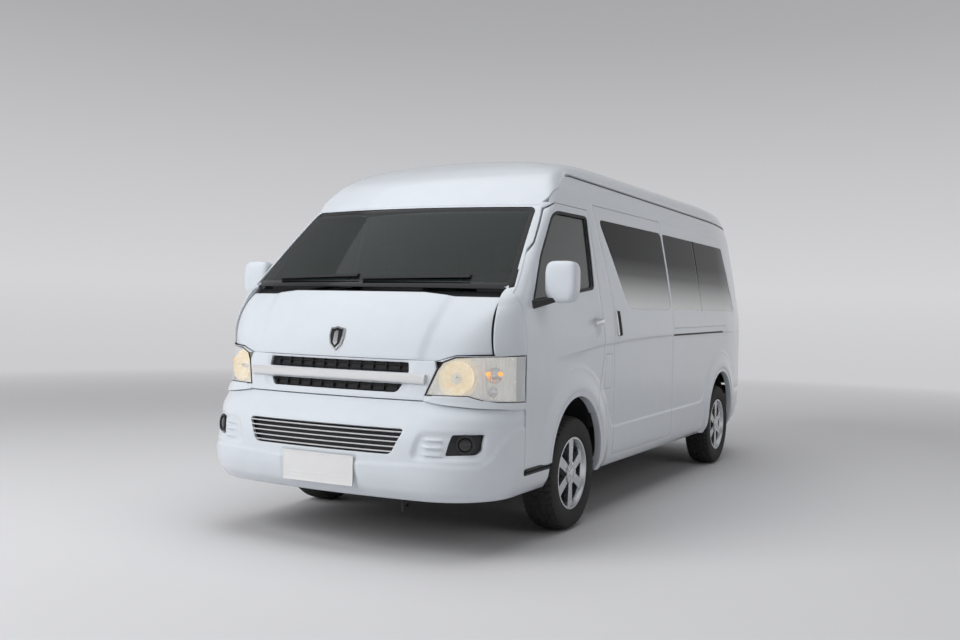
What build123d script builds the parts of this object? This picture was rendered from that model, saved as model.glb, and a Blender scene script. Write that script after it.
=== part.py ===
from build123d import *
import functools
import math
import os

# High-roof passenger van, one or more solids per sub-part, written to parts/NODE.step.
# Millimetres. +Z is up, the van faces -Y, +X is its left side, and the origin is on the ground
# under the middle of its box.

# ---- overall size ----
LENGTH = 5380.0
WIDTH = 1880.0
HEIGHT = 2285.0
WHEELBASE = 3110.0
FRONT_OVERHANG = 1220.0
FRONT = -LENGTH / 2
REAR = LENGTH / 2
HALF = WIDTH / 2
FRONT_AXLE_Y = FRONT + FRONT_OVERHANG
REAR_AXLE_Y = FRONT_AXLE_Y + WHEELBASE

# ---- clearances ----
SEAT = 0.3
PANEL_GAP = 7.0

# ---- body form: each table is (height, value) ----
SILL_Z = 300.0
GLASS_BASE_Z = 1375.0
HEADER_Z = 1862.0
LOW_NOSE = [(SILL_Z, 75), (360, 28), (440, 5), (520, 0), (600, 6), (680, 30), (800, 96),
            (1000, 138), (1100, 156), (1200, 196), (1300, 260), (GLASS_BASE_Z, 330)]
SCREEN_NOSE = [(GLASS_BASE_Z, 330), (1620, 606), (HEADER_Z, 890)]
ROOF_NOSE = [(HEADER_Z, 890), (1950, 985), (2030, 1085), (2100, 1220), (2160, 1375),
             (2210, 1545), (2250, 1760), (HEIGHT + 30, 2300)]
TUMBLEHOME = [(SILL_Z, 45), (360, 14), (450, 2), (600, 0), (1100, 0), (1200, 6), (1300, 18),
              (1450, 42), (1600, 68), (1750, 97), (HEADER_Z, 118), (1950, 138), (2100, 165),
              (2200, 190), (HEIGHT + 30, 215)]
NOSE_RADIUS = [(SILL_Z, 4500), (800, 4500), (1000, 3800), (1200, 3000), (GLASS_BASE_Z, 2200),
               (HEADER_Z, 2600), (HEIGHT + 30, 2600)]
CORNER_RADIUS = [(SILL_Z, 360), (470, 400), (800, 420), (1000, 390), (1200, 270),
                 (GLASS_BASE_Z, 112), (1500, 100), (1700, 98), (HEADER_Z, 108), (2000, 150),
                 (2100, 200), (HEIGHT + 30, 300)]
TAIL = [(SILL_Z, 32), (600, 28), (1100, 30), (1300, 35), (1700, 55), (2000, 78), (2100, 90),
        (2200, 110), (HEIGHT + 30, 150)]
TAPER_START_Y = 1730.0
TAPER_RADIUS = 4500.0
TAIL_RADIUS = 5000.0
TAIL_CORNER = 170.0
CROWN_X = 620.0
CROWN_RADIUS = 2300.0
SHOULDER_RADIUS = 165.0
SHOULDER_TURN = 62.0
LOW_LEVELS = [SILL_Z, 350, 430, 540, 680, 820, 1000, 1140, 1270, GLASS_BASE_Z]
SCREEN_LEVELS = [GLASS_BASE_Z, 1540, 1700, HEADER_Z]
ROOF_LEVELS = [HEADER_Z, 1970, 2070, 2150, 2210, 2260, HEIGHT + 30]
WALL = 48.0
DOOR_THICK = 58.0
GLASS_INSET = 3.0
GLASS_THICK = 5.0
ROOF_SEAM_Z = 2060.0

# ---- side openings, measured back from the front axle ----
DOOR_POINTS = [(-690, 438), (-690, 1036), (-733, 1372), (-690, 1440), (-429, 1634),
               (-218, 1839), (-110, 1882), (360, 1882), (374, 1337), (408, 1062),
               (405, 950), (345, 802), (287, 685), (200, 540), (-300, 438)]
DOOR_WINDOW = [(-600, 1308), (-425, 1569), (-185, 1810), (-100, 1838), (338, 1842), (292, 1402)]
SLIDER_FRONT_LOW = 590.0
SLIDER_FRONT_HIGH = 470.0
SLIDER_REAR = 1782.0
SLIDER_SILL_Z = 370.0
SLIDER_TOP_Z = 1925.0
WINDOW_SILL_Z = 1285.0
WINDOW_TOP_Z = 1845.0
PANE_FRONT_LOW = 852.0
PANE_FRONT_HIGH = 535.0
PANE_SPLITS = (1770.0, 2560.0)
PANE_REAR_LOW = 3600.0
PANE_REAR_HIGH = 3440.0
PANE_BARS = (60.0, 26.0)
FUEL_LID = [(392, 790), (548, 790), (552, 1000), (440, 1000)]
DOOR_LIMIT = [(850, 0), (850, 1300), (868, 1345), (868, GLASS_BASE_Z), (784, HEADER_Z),
              (784, 2000)]

# ---- wheels ----
TRACK = 1652.0
TYRE_R = 329.0
TYRE_WIDTH = 195.0
RIM_R = 208.5
ARCH_R = 366.0
ARCH_Z = 410.0
LINER_R = 372.0
LINER_THICK = 8.0
LINER_EDGE_X = HALF - 72
LINER_FOOT_Z = 380.0
FRONT_WELL_X = 500.0
REAR_WELL_X = 650.0
KINGPIN_X = 758.0
SPINDLE_R = 28.0
WHEEL_X = TRACK / 2

# ---- floor, frame ----
FLOOR_Z = 560.0
FLOOR_THICK = 40.0
PLATFORM_Z = ARCH_Z + LINER_R + LINER_THICK + SEAT
RAIL_X = 420.0
RAIL_WIDTH = 60.0
RAIL_BOTTOM = 440.0


def value_at(table, height):
    """Monotone cubic value of a (height, value) table."""
    n = len(table)
    slopes = [(table[i + 1][1] - table[i][1]) / (table[i + 1][0] - table[i][0])
              for i in range(n - 1)]
    tangents = [slopes[0]]
    for before, after in zip(slopes, slopes[1:]):
        tangents.append(0 if before * after <= 0 else 2 * before * after / (before + after))
    tangents.append(slopes[-1])
    i = 0
    while i < n - 2 and height > table[i + 1][0]:
        i += 1
    span = table[i + 1][0] - table[i][0]
    t = (height - table[i][0]) / span
    rest = 1 - t
    return ((1 + 2 * t) * rest ** 2 * table[i][1] + t * rest ** 2 * span * tangents[i]
            + t ** 2 * (3 - 2 * t) * table[i + 1][1] - t ** 2 * rest * span * tangents[i + 1])


def slope_factor(table, height):
    """Length of the table's curve for one unit of height, so that insets are square to it."""
    step = 5.0
    low = max(height - step, table[0][0])
    high = min(height + step, table[-1][0])
    change = (value_at(table, high) - value_at(table, low)) / (high - low)
    return math.hypot(1, change)


def section(height, nose, inset):
    """Closed wire of the body's outline in plan at one height, moved inwards by inset."""
    side = HALF - value_at(TUMBLEHOME, height) - inset * slope_factor(TUMBLEHOME, height)
    front = FRONT + value_at(nose, height) + inset * slope_factor(nose, height)
    rear = REAR - value_at(TAIL, height) - inset
    nose_r = value_at(NOSE_RADIUS, height) - inset
    corner_r = value_at(CORNER_RADIUS, height) - inset
    tail_r = TAIL_RADIUS - inset
    taper_r = TAPER_RADIUS - inset
    tail_corner = TAIL_CORNER - inset
    # front corner: a circle inside both the nose arc and the side line
    corner_x = side - corner_r
    nose_y = front + nose_r
    corner_y = nose_y - math.sqrt((nose_r - corner_r) ** 2 - corner_x ** 2)
    nose_angle = math.degrees(math.atan2(corner_x, nose_y - corner_y))
    # rear corner: a circle inside both the taper arc and the tail arc
    taper_x = side - taper_r
    tail_y = rear - tail_r
    reach_a = taper_r - tail_corner
    reach_b = tail_r - tail_corner
    apart = math.hypot(taper_x, TAPER_START_Y - tail_y)
    along = (reach_b ** 2 - reach_a ** 2 + apart ** 2) / (2 * apart)
    across = math.sqrt(reach_b ** 2 - along ** 2)
    unit_x = taper_x / apart
    unit_y = (TAPER_START_Y - tail_y) / apart
    rear_x = along * unit_x + across * unit_y
    rear_y = tail_y + along * unit_y - across * unit_x
    taper_angle = math.degrees(math.atan2(rear_y - TAPER_START_Y, rear_x - taper_x))
    tail_angle = math.degrees(math.atan2(rear_y - tail_y, rear_x))
    edges = [
        CenterArc((0, nose_y), nose_r, 270 - nose_angle, 2 * nose_angle),
        CenterArc((corner_x, corner_y), corner_r, 270 + nose_angle, 90 - nose_angle),
        Line((side, corner_y), (side, TAPER_START_Y)),
        CenterArc((taper_x, TAPER_START_Y), taper_r, 0, taper_angle),
        CenterArc((rear_x, rear_y), tail_corner, taper_angle, tail_angle - taper_angle),
        CenterArc((0, tail_y), tail_r, tail_angle, 180 - 2 * tail_angle),
        CenterArc((-rear_x, rear_y), tail_corner, 180 - tail_angle, tail_angle - taper_angle),
        CenterArc((-taper_x, TAPER_START_Y), taper_r, 180 - taper_angle, taper_angle),
        Line((-side, TAPER_START_Y), (-side, corner_y)),
        CenterArc((-corner_x, corner_y), corner_r, 180, 90 - nose_angle),
    ]
    wire = Wire([edge.edge() if hasattr(edge, "edge") else edge for edge in edges])
    return Pos(0, 0, height) * wire


TIERS = {"low": (LOW_NOSE, LOW_LEVELS), "screen": (SCREEN_NOSE, SCREEN_LEVELS),
         "roof": (ROOF_NOSE, ROOF_LEVELS)}


@functools.lru_cache(maxsize=None)
def tier_of(name, inset):
    """Smooth solid through the body's sections over one of its three tiers."""
    nose, heights = TIERS[name]
    return Solid.make_loft([section(height, nose, inset) for height in heights])


def crown(inset):
    """Solid under the roof's cross-section: a flat arc, two shoulders and sides leaning out."""
    centre_z = HEIGHT - CROWN_RADIUS
    turn = math.degrees(math.asin(CROWN_X / CROWN_RADIUS))
    apart = CROWN_RADIUS - SHOULDER_RADIUS
    sx = apart * math.sin(math.radians(turn))
    sz = centre_z + apart * math.cos(math.radians(turn))
    flank = math.radians(SHOULDER_TURN)
    r = SHOULDER_RADIUS - inset
    end_x = sx + r * math.sin(flank)
    end_z = sz + r * math.cos(flank)
    drop = end_z
    foot_x = end_x + drop / math.tan(flank)
    edges = [
        CenterArc((0, centre_z), CROWN_RADIUS - inset, 90 - turn, 2 * turn),
        CenterArc((-sx, sz), r, 90 + turn, SHOULDER_TURN - turn),
        Line((-end_x, end_z), (-foot_x, 0)),
        Line((-foot_x, 0), (foot_x, 0)),
        Line((foot_x, 0), (end_x, end_z)),
        CenterArc((sx, sz), r, 90 - SHOULDER_TURN, SHOULDER_TURN - turn),
    ]
    face = make_face([edge.edge() for edge in edges])
    return extrude(Plane.XZ.offset(LENGTH) * face, -2 * LENGTH)


@functools.lru_cache(maxsize=None)
def waist(inset):
    """Closed solid of the body below the windscreen header."""
    return tier_of("low", inset) + tier_of("screen", inset)


@functools.lru_cache(maxsize=None)
def hull(inset):
    """Closed solid of the whole body, moved inwards by inset."""
    return (waist(inset) + tier_of("roof", inset)) & crown(inset)


def skin(solid, outer, inner, zone):
    """Layer of the body between two insets, kept inside a zone."""
    return (solid(outer) & zone) - solid(inner)


def low(inset):
    """Body below the foot of the windscreen."""
    return tier_of("low", inset)


def screen(inset):
    """Body between the foot and the head of the windscreen."""
    return tier_of("screen", inset)


def polygon(points, radius=0.0):
    """Closed outline with rounded corners, as a flat face."""
    if radius:
        return make_face(FilletPolyline(*points, radius=radius, close=True))
    return make_face(Polyline(*points, close=True))


def across(face, x0, x1):
    """Side-view outline (y, z) carried from x0 to x1."""
    return extrude(Plane.YZ.offset(x0) * face, x1 - x0)


def along(face, y0, y1):
    """Front-view outline (x, z) carried from y0 to y1."""
    return extrude(Plane.XZ.offset(-y0) * face, y0 - y1)


def box(x0, x1, y0, y1, z0, z1):
    """Box from its low and high values."""
    return Pos((x0 + x1) / 2, (y0 + y1) / 2, (z0 + z1) / 2) * Box(x1 - x0, y1 - y0, z1 - z0)


def rod(start, end, radius):
    """Round bar between two points."""
    line = Vector(*end) - Vector(*start)
    plane = Plane(origin=start, z_dir=line)
    return extrude(plane * Circle(radius), line.length)


def mirrored(shape):
    """The same piece on the other side of the van."""
    return mirror(shape, about=Plane.YZ)


def from_axle(points):
    """Side-view points given from the front axle, in the van's frame."""
    return [(FRONT_AXLE_Y + y, z) for y, z in points]


# ---- body shell ----
FAR = LENGTH
OUTER = hull(0)
SHELL = OUTER - hull(WALL)
CAB_INSET = DOOR_THICK + PANEL_GAP


def door_face(grow):
    """Front door outline in side view, grown by grow."""
    face = polygon(from_axle(DOOR_POINTS), 14)
    return offset(face, grow) if grow else face


def door_zone(side, grow):
    """Space of one front door: its outline in side view, outside the line of its inner edge."""
    line = [(x - grow, z) for x, z in DOOR_LIMIT] + [(FAR, 2000), (FAR, 0)]
    zone = across(door_face(grow), 0, FAR) & along(polygon(line), -FAR, FAR)
    return zone if side > 0 else mirrored(zone)


def window_face(points, grow):
    """Rounded window outline in side view, grown by grow."""
    face = polygon(from_axle(points), 22)
    return offset(face, grow) if grow else face


def pane_points():
    """Outlines of the three side panes, front to rear."""
    first, second = PANE_SPLITS
    bar, slim = PANE_BARS[0] / 2, PANE_BARS[1] / 2
    front = [(PANE_FRONT_HIGH, WINDOW_TOP_Z), (first - bar, WINDOW_TOP_Z),
             (first - bar, WINDOW_SILL_Z), (PANE_FRONT_LOW, WINDOW_SILL_Z)]
    middle = [(first + bar, WINDOW_TOP_Z), (second - slim, WINDOW_TOP_Z),
              (second - slim, WINDOW_SILL_Z), (first + bar, WINDOW_SILL_Z)]
    last = [(second + slim, WINDOW_TOP_Z), (PANE_REAR_HIGH, WINDOW_TOP_Z),
            (PANE_REAR_LOW, WINDOW_SILL_Z), (second + slim, WINDOW_SILL_Z)]
    return [front, middle, last]


def slider_face(grow_ends):
    """Sliding door outline; its seams at the ends are wider than at sill and top."""
    points = [(SLIDER_FRONT_LOW - grow_ends, SLIDER_SILL_Z),
              (SLIDER_FRONT_LOW - grow_ends, WINDOW_SILL_Z),
              (SLIDER_FRONT_HIGH - grow_ends, SLIDER_TOP_Z),
              (SLIDER_REAR + grow_ends, SLIDER_TOP_Z),
              (SLIDER_REAR + grow_ends, SLIDER_SILL_Z)]
    return polygon(from_axle(points), 18)


def arch_cut(y):
    """One wheel opening through the whole width."""
    disc = Plane.YZ.offset(-FAR) * Pos(y, ARCH_Z) * Circle(ARCH_R)
    return extrude(disc, 2 * FAR) + box(-FAR, FAR, y - ARCH_R, y + ARCH_R, 0, ARCH_Z)


ARCHES = [arch_cut(FRONT_AXLE_Y), arch_cut(REAR_AXLE_Y)]
DOOR_OPENINGS = [door_zone(1, PANEL_GAP), door_zone(-1, PANEL_GAP)]
TAIL_TOP_Z = 2040.0
TAIL_BOTTOM_Z = 615.0
TAIL_HALF_LOW = 800.0
TAIL_HALF_HIGH = 690.0


def tail_face(grow):
    """Tailgate outline seen from behind."""
    points = [(-TAIL_HALF_LOW, TAIL_BOTTOM_Z), (TAIL_HALF_LOW, TAIL_BOTTOM_Z),
              (TAIL_HALF_LOW, 1250), (TAIL_HALF_HIGH, TAIL_TOP_Z),
              (-TAIL_HALF_HIGH, TAIL_TOP_Z), (-TAIL_HALF_LOW, 1250)]
    face = polygon(points, 60)
    return offset(face, grow) if grow else face


TAIL_DEPTH = 180.0
TAIL_OPENING = along(tail_face(PANEL_GAP), REAR - TAIL_DEPTH - PANEL_GAP, REAR + 100)
TAIL_AXIS_Z = TAIL_TOP_Z - 70
TAIL_AXIS_Y = REAR - value_at(TAIL, TAIL_TOP_Z) - 16
DOOR_AXIS_Y = FRONT_AXLE_Y + DOOR_POINTS[0][0] + 30
POST_Y = FRONT_AXLE_Y + DOOR_POINTS[0][0] - 70
DOOR_SWEEP_R = 106.0
BONNET_SWEEP_R = 44.0
TAIL_SWEEP_R = 113.0
DOOR_AXIS_X = HALF - 15
DOOR_HINGES_Z = (780.0, 1180.0)
HINGE_ARM_X = HALF - 118
PIN_R = 5.0
PIN_ROOM = 0.4
BONNET_AXIS_Y = FRONT + 468
BONNET_AXIS_Z = 1325.0
BONNET_TOP_Z = 1352.0
BONNET_CORNER_Z = 1338.0
COWL_Z = 1366.0
BONNET_HALF = 818.0
BONNET_LOW_HALF = 848.0
BONNET_THICK = 42.0


def bonnet_face(grow, top):
    """Bonnet outline seen from the front, up to a given height."""
    foot = [(-BONNET_LOW_HALF, 1040), (-690, 1036), (-620, 1014), (-590, 1004),
            (590, 1004), (620, 1014), (690, 1036), (BONNET_LOW_HALF, 1040)]
    if not grow:
        head = [(BONNET_HALF, BONNET_CORNER_Z), (560, BONNET_CORNER_Z), (420, top), (-420, top),
                (-560, BONNET_CORNER_Z), (-BONNET_HALF, BONNET_CORNER_Z)]
        return polygon(foot + head)
    head = [(BONNET_HALF, BONNET_TOP_Z), (BONNET_HALF, top), (-BONNET_HALF, top),
            (-BONNET_HALF, BONNET_TOP_Z)]
    return offset(polygon(foot + head), grow, kind=Kind.INTERSECTION)


NOSE_BACK_Y = FRONT_AXLE_Y + DOOR_POINTS[0][0] - PANEL_GAP - 8


def nose_cut(face):
    """A front-view outline carried through the nose only."""
    return along(face, FRONT - 100, NOSE_BACK_Y)


LAMP_POINTS = [(559, 829), (604, 958), (629, 1000), (690, 1026), (1000, 1034), (1000, 790),
               (882, 797), (800, 815), (760, 829)]
GRILLE_HALF = 558.0
BUMPER_TOP_Z = 800.0
SCREEN_LOW_Z = GLASS_BASE_Z + 8
SCREEN_HIGH_Z = HEADER_Z - 10
SCREEN_LOW_X = 853.0
SCREEN_HIGH_X = 757.0
SCREEN_LIP = 30.0


def screen_face(grow):
    """Windscreen outline seen from the front."""
    points = [(-SCREEN_LOW_X, SCREEN_LOW_Z), (SCREEN_LOW_X, SCREEN_LOW_Z),
              (SCREEN_HIGH_X, SCREEN_HIGH_Z), (-SCREEN_HIGH_X, SCREEN_HIGH_Z)]
    face = polygon(points, 45)
    return offset(face, grow) if grow else face


def screen_cut(grow):
    """Windscreen opening."""
    return along(screen_face(grow), FRONT, FRONT_AXLE_Y + 100)


def lamp_cut():
    """Openings of both headlamps."""
    left = nose_cut(polygon(LAMP_POINTS))
    return left + mirrored(left)


def nose_openings():
    """Grille, bonnet and lamp openings of the nose."""
    inner = LAMP_POINTS[:3]
    grille = [(-GRILLE_HALF, BUMPER_TOP_Z), (GRILLE_HALF, BUMPER_TOP_Z)] + inner
    grille = grille + [(-x, z) for x, z in reversed(inner)]
    top = SCREEN_LOW_Z + 2 - PANEL_GAP
    bonnet_room = along(bonnet_face(PANEL_GAP, top), FRONT - 100, FRONT_AXLE_Y + 100)
    return [bonnet_room, nose_cut(polygon(grille)), lamp_cut()]


def bumper_face():
    """Front bumper outline seen from the front."""
    points = [(-1000, SILL_Z - 20), (1000, SILL_Z - 20), (1000, 740), (890, 766), (650, 788),
              (570, BUMPER_TOP_Z), (-570, BUMPER_TOP_Z), (-650, 788), (-890, 766), (-1000, 740)]
    return polygon(points)


def front_steps():
    """Lower body ahead of the front wheels, under the doors' front ends."""
    zone = box(0, FAR, NOSE_BACK_Y, FRONT_AXLE_Y, SILL_Z, DOOR_POINTS[0][1] - PANEL_GAP)
    step = (skin(low, 0, WALL, zone) + (flare(FRONT_AXLE_Y) & zone)) - ARCHES[0]
    return Compound(children=[step, mirrored(step)])


def front_structure():
    """Nose corners, pillars, cowl and header round the windscreen, with both hinge posts."""
    back = FRONT_AXLE_Y
    region = across(polygon([(FRONT - 100, 700), (back - 430, 700), (back - 140, HEADER_Z),
                             (FRONT - 100, HEADER_Z)]), -FAR, FAR)
    bumper = along(offset(bumper_face(), SEAT), FRONT - 100, back)
    recess = screen_cut(0) - screen(GLASS_INSET + GLASS_THICK + SEAT)
    body = (OUTER & region) - hull(WALL)
    body = body - ([bumper, recess, screen_cut(-SCREEN_LIP)] + DOOR_OPENINGS + nose_openings())
    swept = across(door_face(PANEL_GAP), 0, FAR) & door_sweep(0, HEADER_Z)
    turn = BONNET_HALF + PANEL_GAP
    ends = rod((-turn, BONNET_AXIS_Y, BONNET_AXIS_Z), (turn, BONNET_AXIS_Y, BONNET_AXIS_Z),
               BONNET_SWEEP_R)
    body = body - [swept, mirrored(swept), ends]
    posts = [hinge_post(side) for side in (-1, 1)]
    pins = [bonnet_pin(side) for side in (-1, 1)]
    return body + posts + pins


def door_sweep(low_z, high_z):
    """Room round the left door's axis for the part of the door ahead of it."""
    return rod((DOOR_AXIS_X, DOOR_AXIS_Y, low_z), (DOOR_AXIS_X, DOOR_AXIS_Y, high_z),
               DOOR_SWEEP_R)


def bonnet_pin(side):
    """Pin on a nose corner that the bonnet's rear corner turns on."""
    return rod((side * (BONNET_HALF - 28), BONNET_AXIS_Y, BONNET_AXIS_Z),
               (side * (BONNET_HALF + 27), BONNET_AXIS_Y, BONNET_AXIS_Z), PIN_R)


def hinge_post(side):
    """Post behind the nose corner with the two hinge arms of the door and their pins."""
    x, y0, y1 = HINGE_ARM_X, POST_Y, POST_Y + 27
    low_z, high_z = DOOR_HINGES_Z
    post = box(x, x + 30, y0, y1, low_z - 9, high_z + 70)
    pieces = [box(x, HALF - 44, y0, y1, low_z - 9, low_z + 9),
              box(x, HALF - 44, y0, y1, high_z - 120, high_z - 70)]
    for z in DOOR_HINGES_Z:
        pieces.append(box(x, x + 22, y0, DOOR_AXIS_Y + 8, z - 9, z + 9))
        pieces.append(box(x, DOOR_AXIS_X, DOOR_AXIS_Y - 7, DOOR_AXIS_Y + 7, z - 9, z + 9))
        pieces.append(rod((DOOR_AXIS_X, DOOR_AXIS_Y, z - 9), (DOOR_AXIS_X, DOOR_AXIS_Y, z + 9), 7))
        pieces.append(rod((DOOR_AXIS_X, DOOR_AXIS_Y, z - 45), (DOOR_AXIS_X, DOOR_AXIS_Y, z + 45),
                          PIN_R))
    post = post + pieces
    return post if side > 0 else mirrored(post)


def door_pocket(z):
    """Room that a hinge arm needs inside the left door, with the bore of its pin."""
    room = box(HALF - 200, DOOR_AXIS_X + 7.5, DOOR_AXIS_Y - 200, DOOR_AXIS_Y + 14, z - 15, z + 15)
    bore = rod((DOOR_AXIS_X, DOOR_AXIS_Y, z - 45.4), (DOOR_AXIS_X, DOOR_AXIS_Y, z + 45.4),
               PIN_R + PIN_ROOM)
    return room + bore


FLARE_R = 448.0
FLARE_LIP_R = 404.0
FLARE_OUT = 14.0


def flare(y):
    """Raised ring round one left wheel opening, sloping down to the panel on its outside."""
    inner_r = ARCH_R - 6
    profile = Polyline((HALF - 6, inner_r), (HALF + FLARE_OUT, inner_r),
                       (HALF + FLARE_OUT, FLARE_LIP_R), (HALF - 2, FLARE_R),
                       (HALF - 6, FLARE_R), close=True)
    ring = Pos(0, y, ARCH_Z) * revolve(make_face(profile), Axis.X)
    return ring - box(0, FAR, y - 600, y + 600, 0, 330)


def flared(body, zone):
    """A left panel with the parts of both flares that lie in its zone."""
    return body + [flare(y) & zone for y in (FRONT_AXLE_Y, REAR_AXLE_Y)]


@functools.lru_cache(maxsize=None)
def left_door():
    """Left front door with its window cut, wheel opening and hinge pockets."""
    zone = door_zone(1, 0)
    body = skin(hull, 0, DOOR_THICK, zone) + (flare(FRONT_AXLE_Y) & zone)
    cuts = [ARCHES[0], across(window_face(DOOR_WINDOW, 0), 500, FAR)]
    return body - (cuts + [door_pocket(z) for z in DOOR_HINGES_Z])


def front_door(side):
    """One front door."""
    return left_door() if side > 0 else mirrored(left_door())


def glass(face):
    """Side pane of a given outline, on the left."""
    return skin(waist, GLASS_INSET, GLASS_INSET + GLASS_THICK, across(face, 500, FAR))


def door_glass(side):
    """Pane of one front door."""
    pane = glass(window_face(DOOR_WINDOW, -SEAT))
    return pane if side > 0 else mirrored(pane)


def mirror_unit(side):
    """Mirror head on its arm at the front corner of the door window."""
    y = FRONT_AXLE_Y - 560
    root = box(905, 965, y, y + 120, 1292, 1318)
    arm = box(940, 1010, y - 40, y + 60, 1290, 1320)
    head = Pos(1070, y - 30, 1395) * Box(200, 100, 250)
    head = fillet(head.edges(), 38)
    body = (root + arm + head) - waist(-SEAT)
    return body if side > 0 else mirrored(body)


def window_cuts(panes):
    """Openings of these side panes, on the left."""
    return [across(window_face(points, 0), 500, FAR) for points in panes]


def wall_region():
    """Side-view outline of the wall behind the front door."""
    back = FRONT_AXLE_Y
    top = ROOF_SEAM_Z - SEAT
    return polygon([(back - 110, HEADER_Z - SEAT), (back + 230, top), (REAR + 100, top),
                    (REAR + 100, SILL_Z - 20), (back + 190, SILL_Z - 20), (back + 190, 900)])


def fuel_lid_face(grow):
    """Fuel lid outline in side view."""
    face = polygon(from_axle(FUEL_LID), 16)
    return offset(face, grow) if grow else face


LID_THICK = 12.0
LID_DEPTH = 34.0
LID_AXIS_Y = FRONT_AXLE_Y + FUEL_LID[1][0] - 8
LID_AXIS_X = HALF - 6
LID_LOW_Z = FUEL_LID[0][1]
LID_HIGH_Z = FUEL_LID[2][1]


def left_wall(panes):
    """Left wall from the door pillar round the rear corner, with these panes cut."""
    zone = across(wall_region(), 0, FAR)
    body = flared(SHELL & zone, zone)
    turn = TAIL_HALF_HIGH + 9
    ends = rod((-turn, TAIL_AXIS_Y, TAIL_AXIS_Z), (turn, TAIL_AXIS_Y, TAIL_AXIS_Z), TAIL_SWEEP_R)
    cuts = [DOOR_OPENINGS[0], TAIL_OPENING, rear_bumper_zone(SEAT), ends]
    return body - (cuts + ARCHES + window_cuts(panes))


def left_side_wall():
    """Left wall with the sliding door's opening, the lid's pocket, its pins and the filler."""
    pocket = across(fuel_lid_face(PANEL_GAP), HALF - LID_DEPTH, FAR)
    body = left_wall(pane_points()[1:]) - [across(slider_face(4.0), 0, FAR), pocket]
    return body + lid_pins() + [filler_neck()]


def right_side_wall():
    """Right wall, with all three windows."""
    return mirrored(left_wall(pane_points()))


def lid_pins():
    """Two short pins that the fuel lid turns on."""
    return [rod((LID_AXIS_X, LID_AXIS_Y, z - 20), (LID_AXIS_X, LID_AXIS_Y, z + 20), 2.0)
            for z in (LID_LOW_Z, LID_HIGH_Z)]


def filler_neck():
    """Capped filler neck on the floor of the lid's pocket."""
    y = FRONT_AXLE_Y + (FUEL_LID[0][0] + FUEL_LID[1][0]) / 2 + 10
    z = (LID_LOW_Z + LID_HIGH_Z) / 2
    return rod((HALF - LID_DEPTH - 1, y, z), (HALF - LID_DEPTH + 14, y, z), 30)


def fuel_lid():
    """Hinged fuel lid, flush with the wall."""
    body = skin(low, 0, LID_THICK, across(fuel_lid_face(0), 500, FAR))
    bores = [rod((LID_AXIS_X, LID_AXIS_Y, z - 20.4), (LID_AXIS_X, LID_AXIS_Y, z + 20.4), 2.3)
             for z in (LID_LOW_Z, LID_HIGH_Z)]
    return body - bores


def sliding_door():
    """Sliding door with its front window cut, shown shut."""
    body = SHELL & across(slider_face(0), 0, FAR)
    bottom = box(0, FAR, -FAR, FAR, SLIDER_SILL_Z - 10, SLIDER_SILL_Z + SEAT)
    top = box(0, FAR, -FAR, FAR, SLIDER_TOP_Z - SEAT, SLIDER_TOP_Z + 10)
    return body - ([bottom, top] + window_cuts(pane_points()[:1]))


def side_glass():
    """Three panes on each side."""
    panes = [glass(window_face(points, -SEAT)) for points in pane_points()]
    return Compound(children=panes + [mirrored(pane) for pane in panes])


def roof_panel():
    """Raised roof with its front ramp, rear header and the tailgate's hinge arms."""
    back = FRONT_AXLE_Y
    region = polygon([(FRONT, HEADER_Z + SEAT), (back - 110, HEADER_Z + SEAT),
                      (back + 230, ROOF_SEAM_Z), (REAR + 100, ROOF_SEAM_Z),
                      (REAR + 100, HEIGHT + 100), (FRONT, HEIGHT + 100)])
    body = SHELL & across(region, -FAR, FAR)
    body = body - (DOOR_OPENINGS + [TAIL_OPENING])
    pieces = []
    for x in (-450, 450):
        arm = box(x - 12, x + 12, TAIL_AXIS_Y - 130, TAIL_AXIS_Y - 110, TAIL_AXIS_Z - 8,
                  HEIGHT - 55)
        reach = box(x - 12, x + 12, TAIL_AXIS_Y - 130, TAIL_AXIS_Y + 6, TAIL_AXIS_Z - 8,
                    TAIL_AXIS_Z + 8)
        pin = rod((x - 40, TAIL_AXIS_Y, TAIL_AXIS_Z), (x + 40, TAIL_AXIS_Y, TAIL_AXIS_Z), PIN_R)
        pieces += [arm, reach, pin]
    return body + pieces


TAIL_WINDOW_LOW_Z = 1270.0
TAIL_WINDOW_HIGH_Z = 1850.0


def tail_window(grow):
    """Tailgate window outline seen from behind."""
    points = [(-700, TAIL_WINDOW_LOW_Z), (700, TAIL_WINDOW_LOW_Z), (640, TAIL_WINDOW_HIGH_Z),
              (-640, TAIL_WINDOW_HIGH_Z)]
    face = polygon(points, 60)
    return offset(face, grow) if grow else face


def tailgate():
    """Top-hinged tailgate with its window cut, hinge pockets and handle bar."""
    body = skin(hull, 0, DOOR_THICK, along(tail_face(0), REAR - TAIL_DEPTH, REAR + 100))
    cuts = [along(tail_window(0), REAR - 500, REAR + 100)]
    for x in (-450, 450):
        cuts.append(box(x - 20, x + 20, TAIL_AXIS_Y - 200, TAIL_AXIS_Y + 12, TAIL_AXIS_Z - 14,
                        TAIL_AXIS_Z + 100))
        cuts.append(rod((x - 40.4, TAIL_AXIS_Y, TAIL_AXIS_Z), (x + 40.4, TAIL_AXIS_Y, TAIL_AXIS_Z),
                        PIN_R + PIN_ROOM))
    handle = skin(low, -14, 10, box(-330, 330, REAR - 200, REAR + 50, 1020, 1075))
    return (body - cuts) + handle


def tailgate_glass():
    """Pane of the tailgate."""
    zone = along(tail_window(-SEAT), REAR - 500, REAR + 100)
    return skin(waist, GLASS_INSET, GLASS_INSET + GLASS_THICK, zone)


def windscreen():
    """Curved windscreen resting on the frame's lip."""
    return skin(screen, GLASS_INSET, GLASS_INSET + GLASS_THICK, screen_cut(-SEAT))


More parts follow.
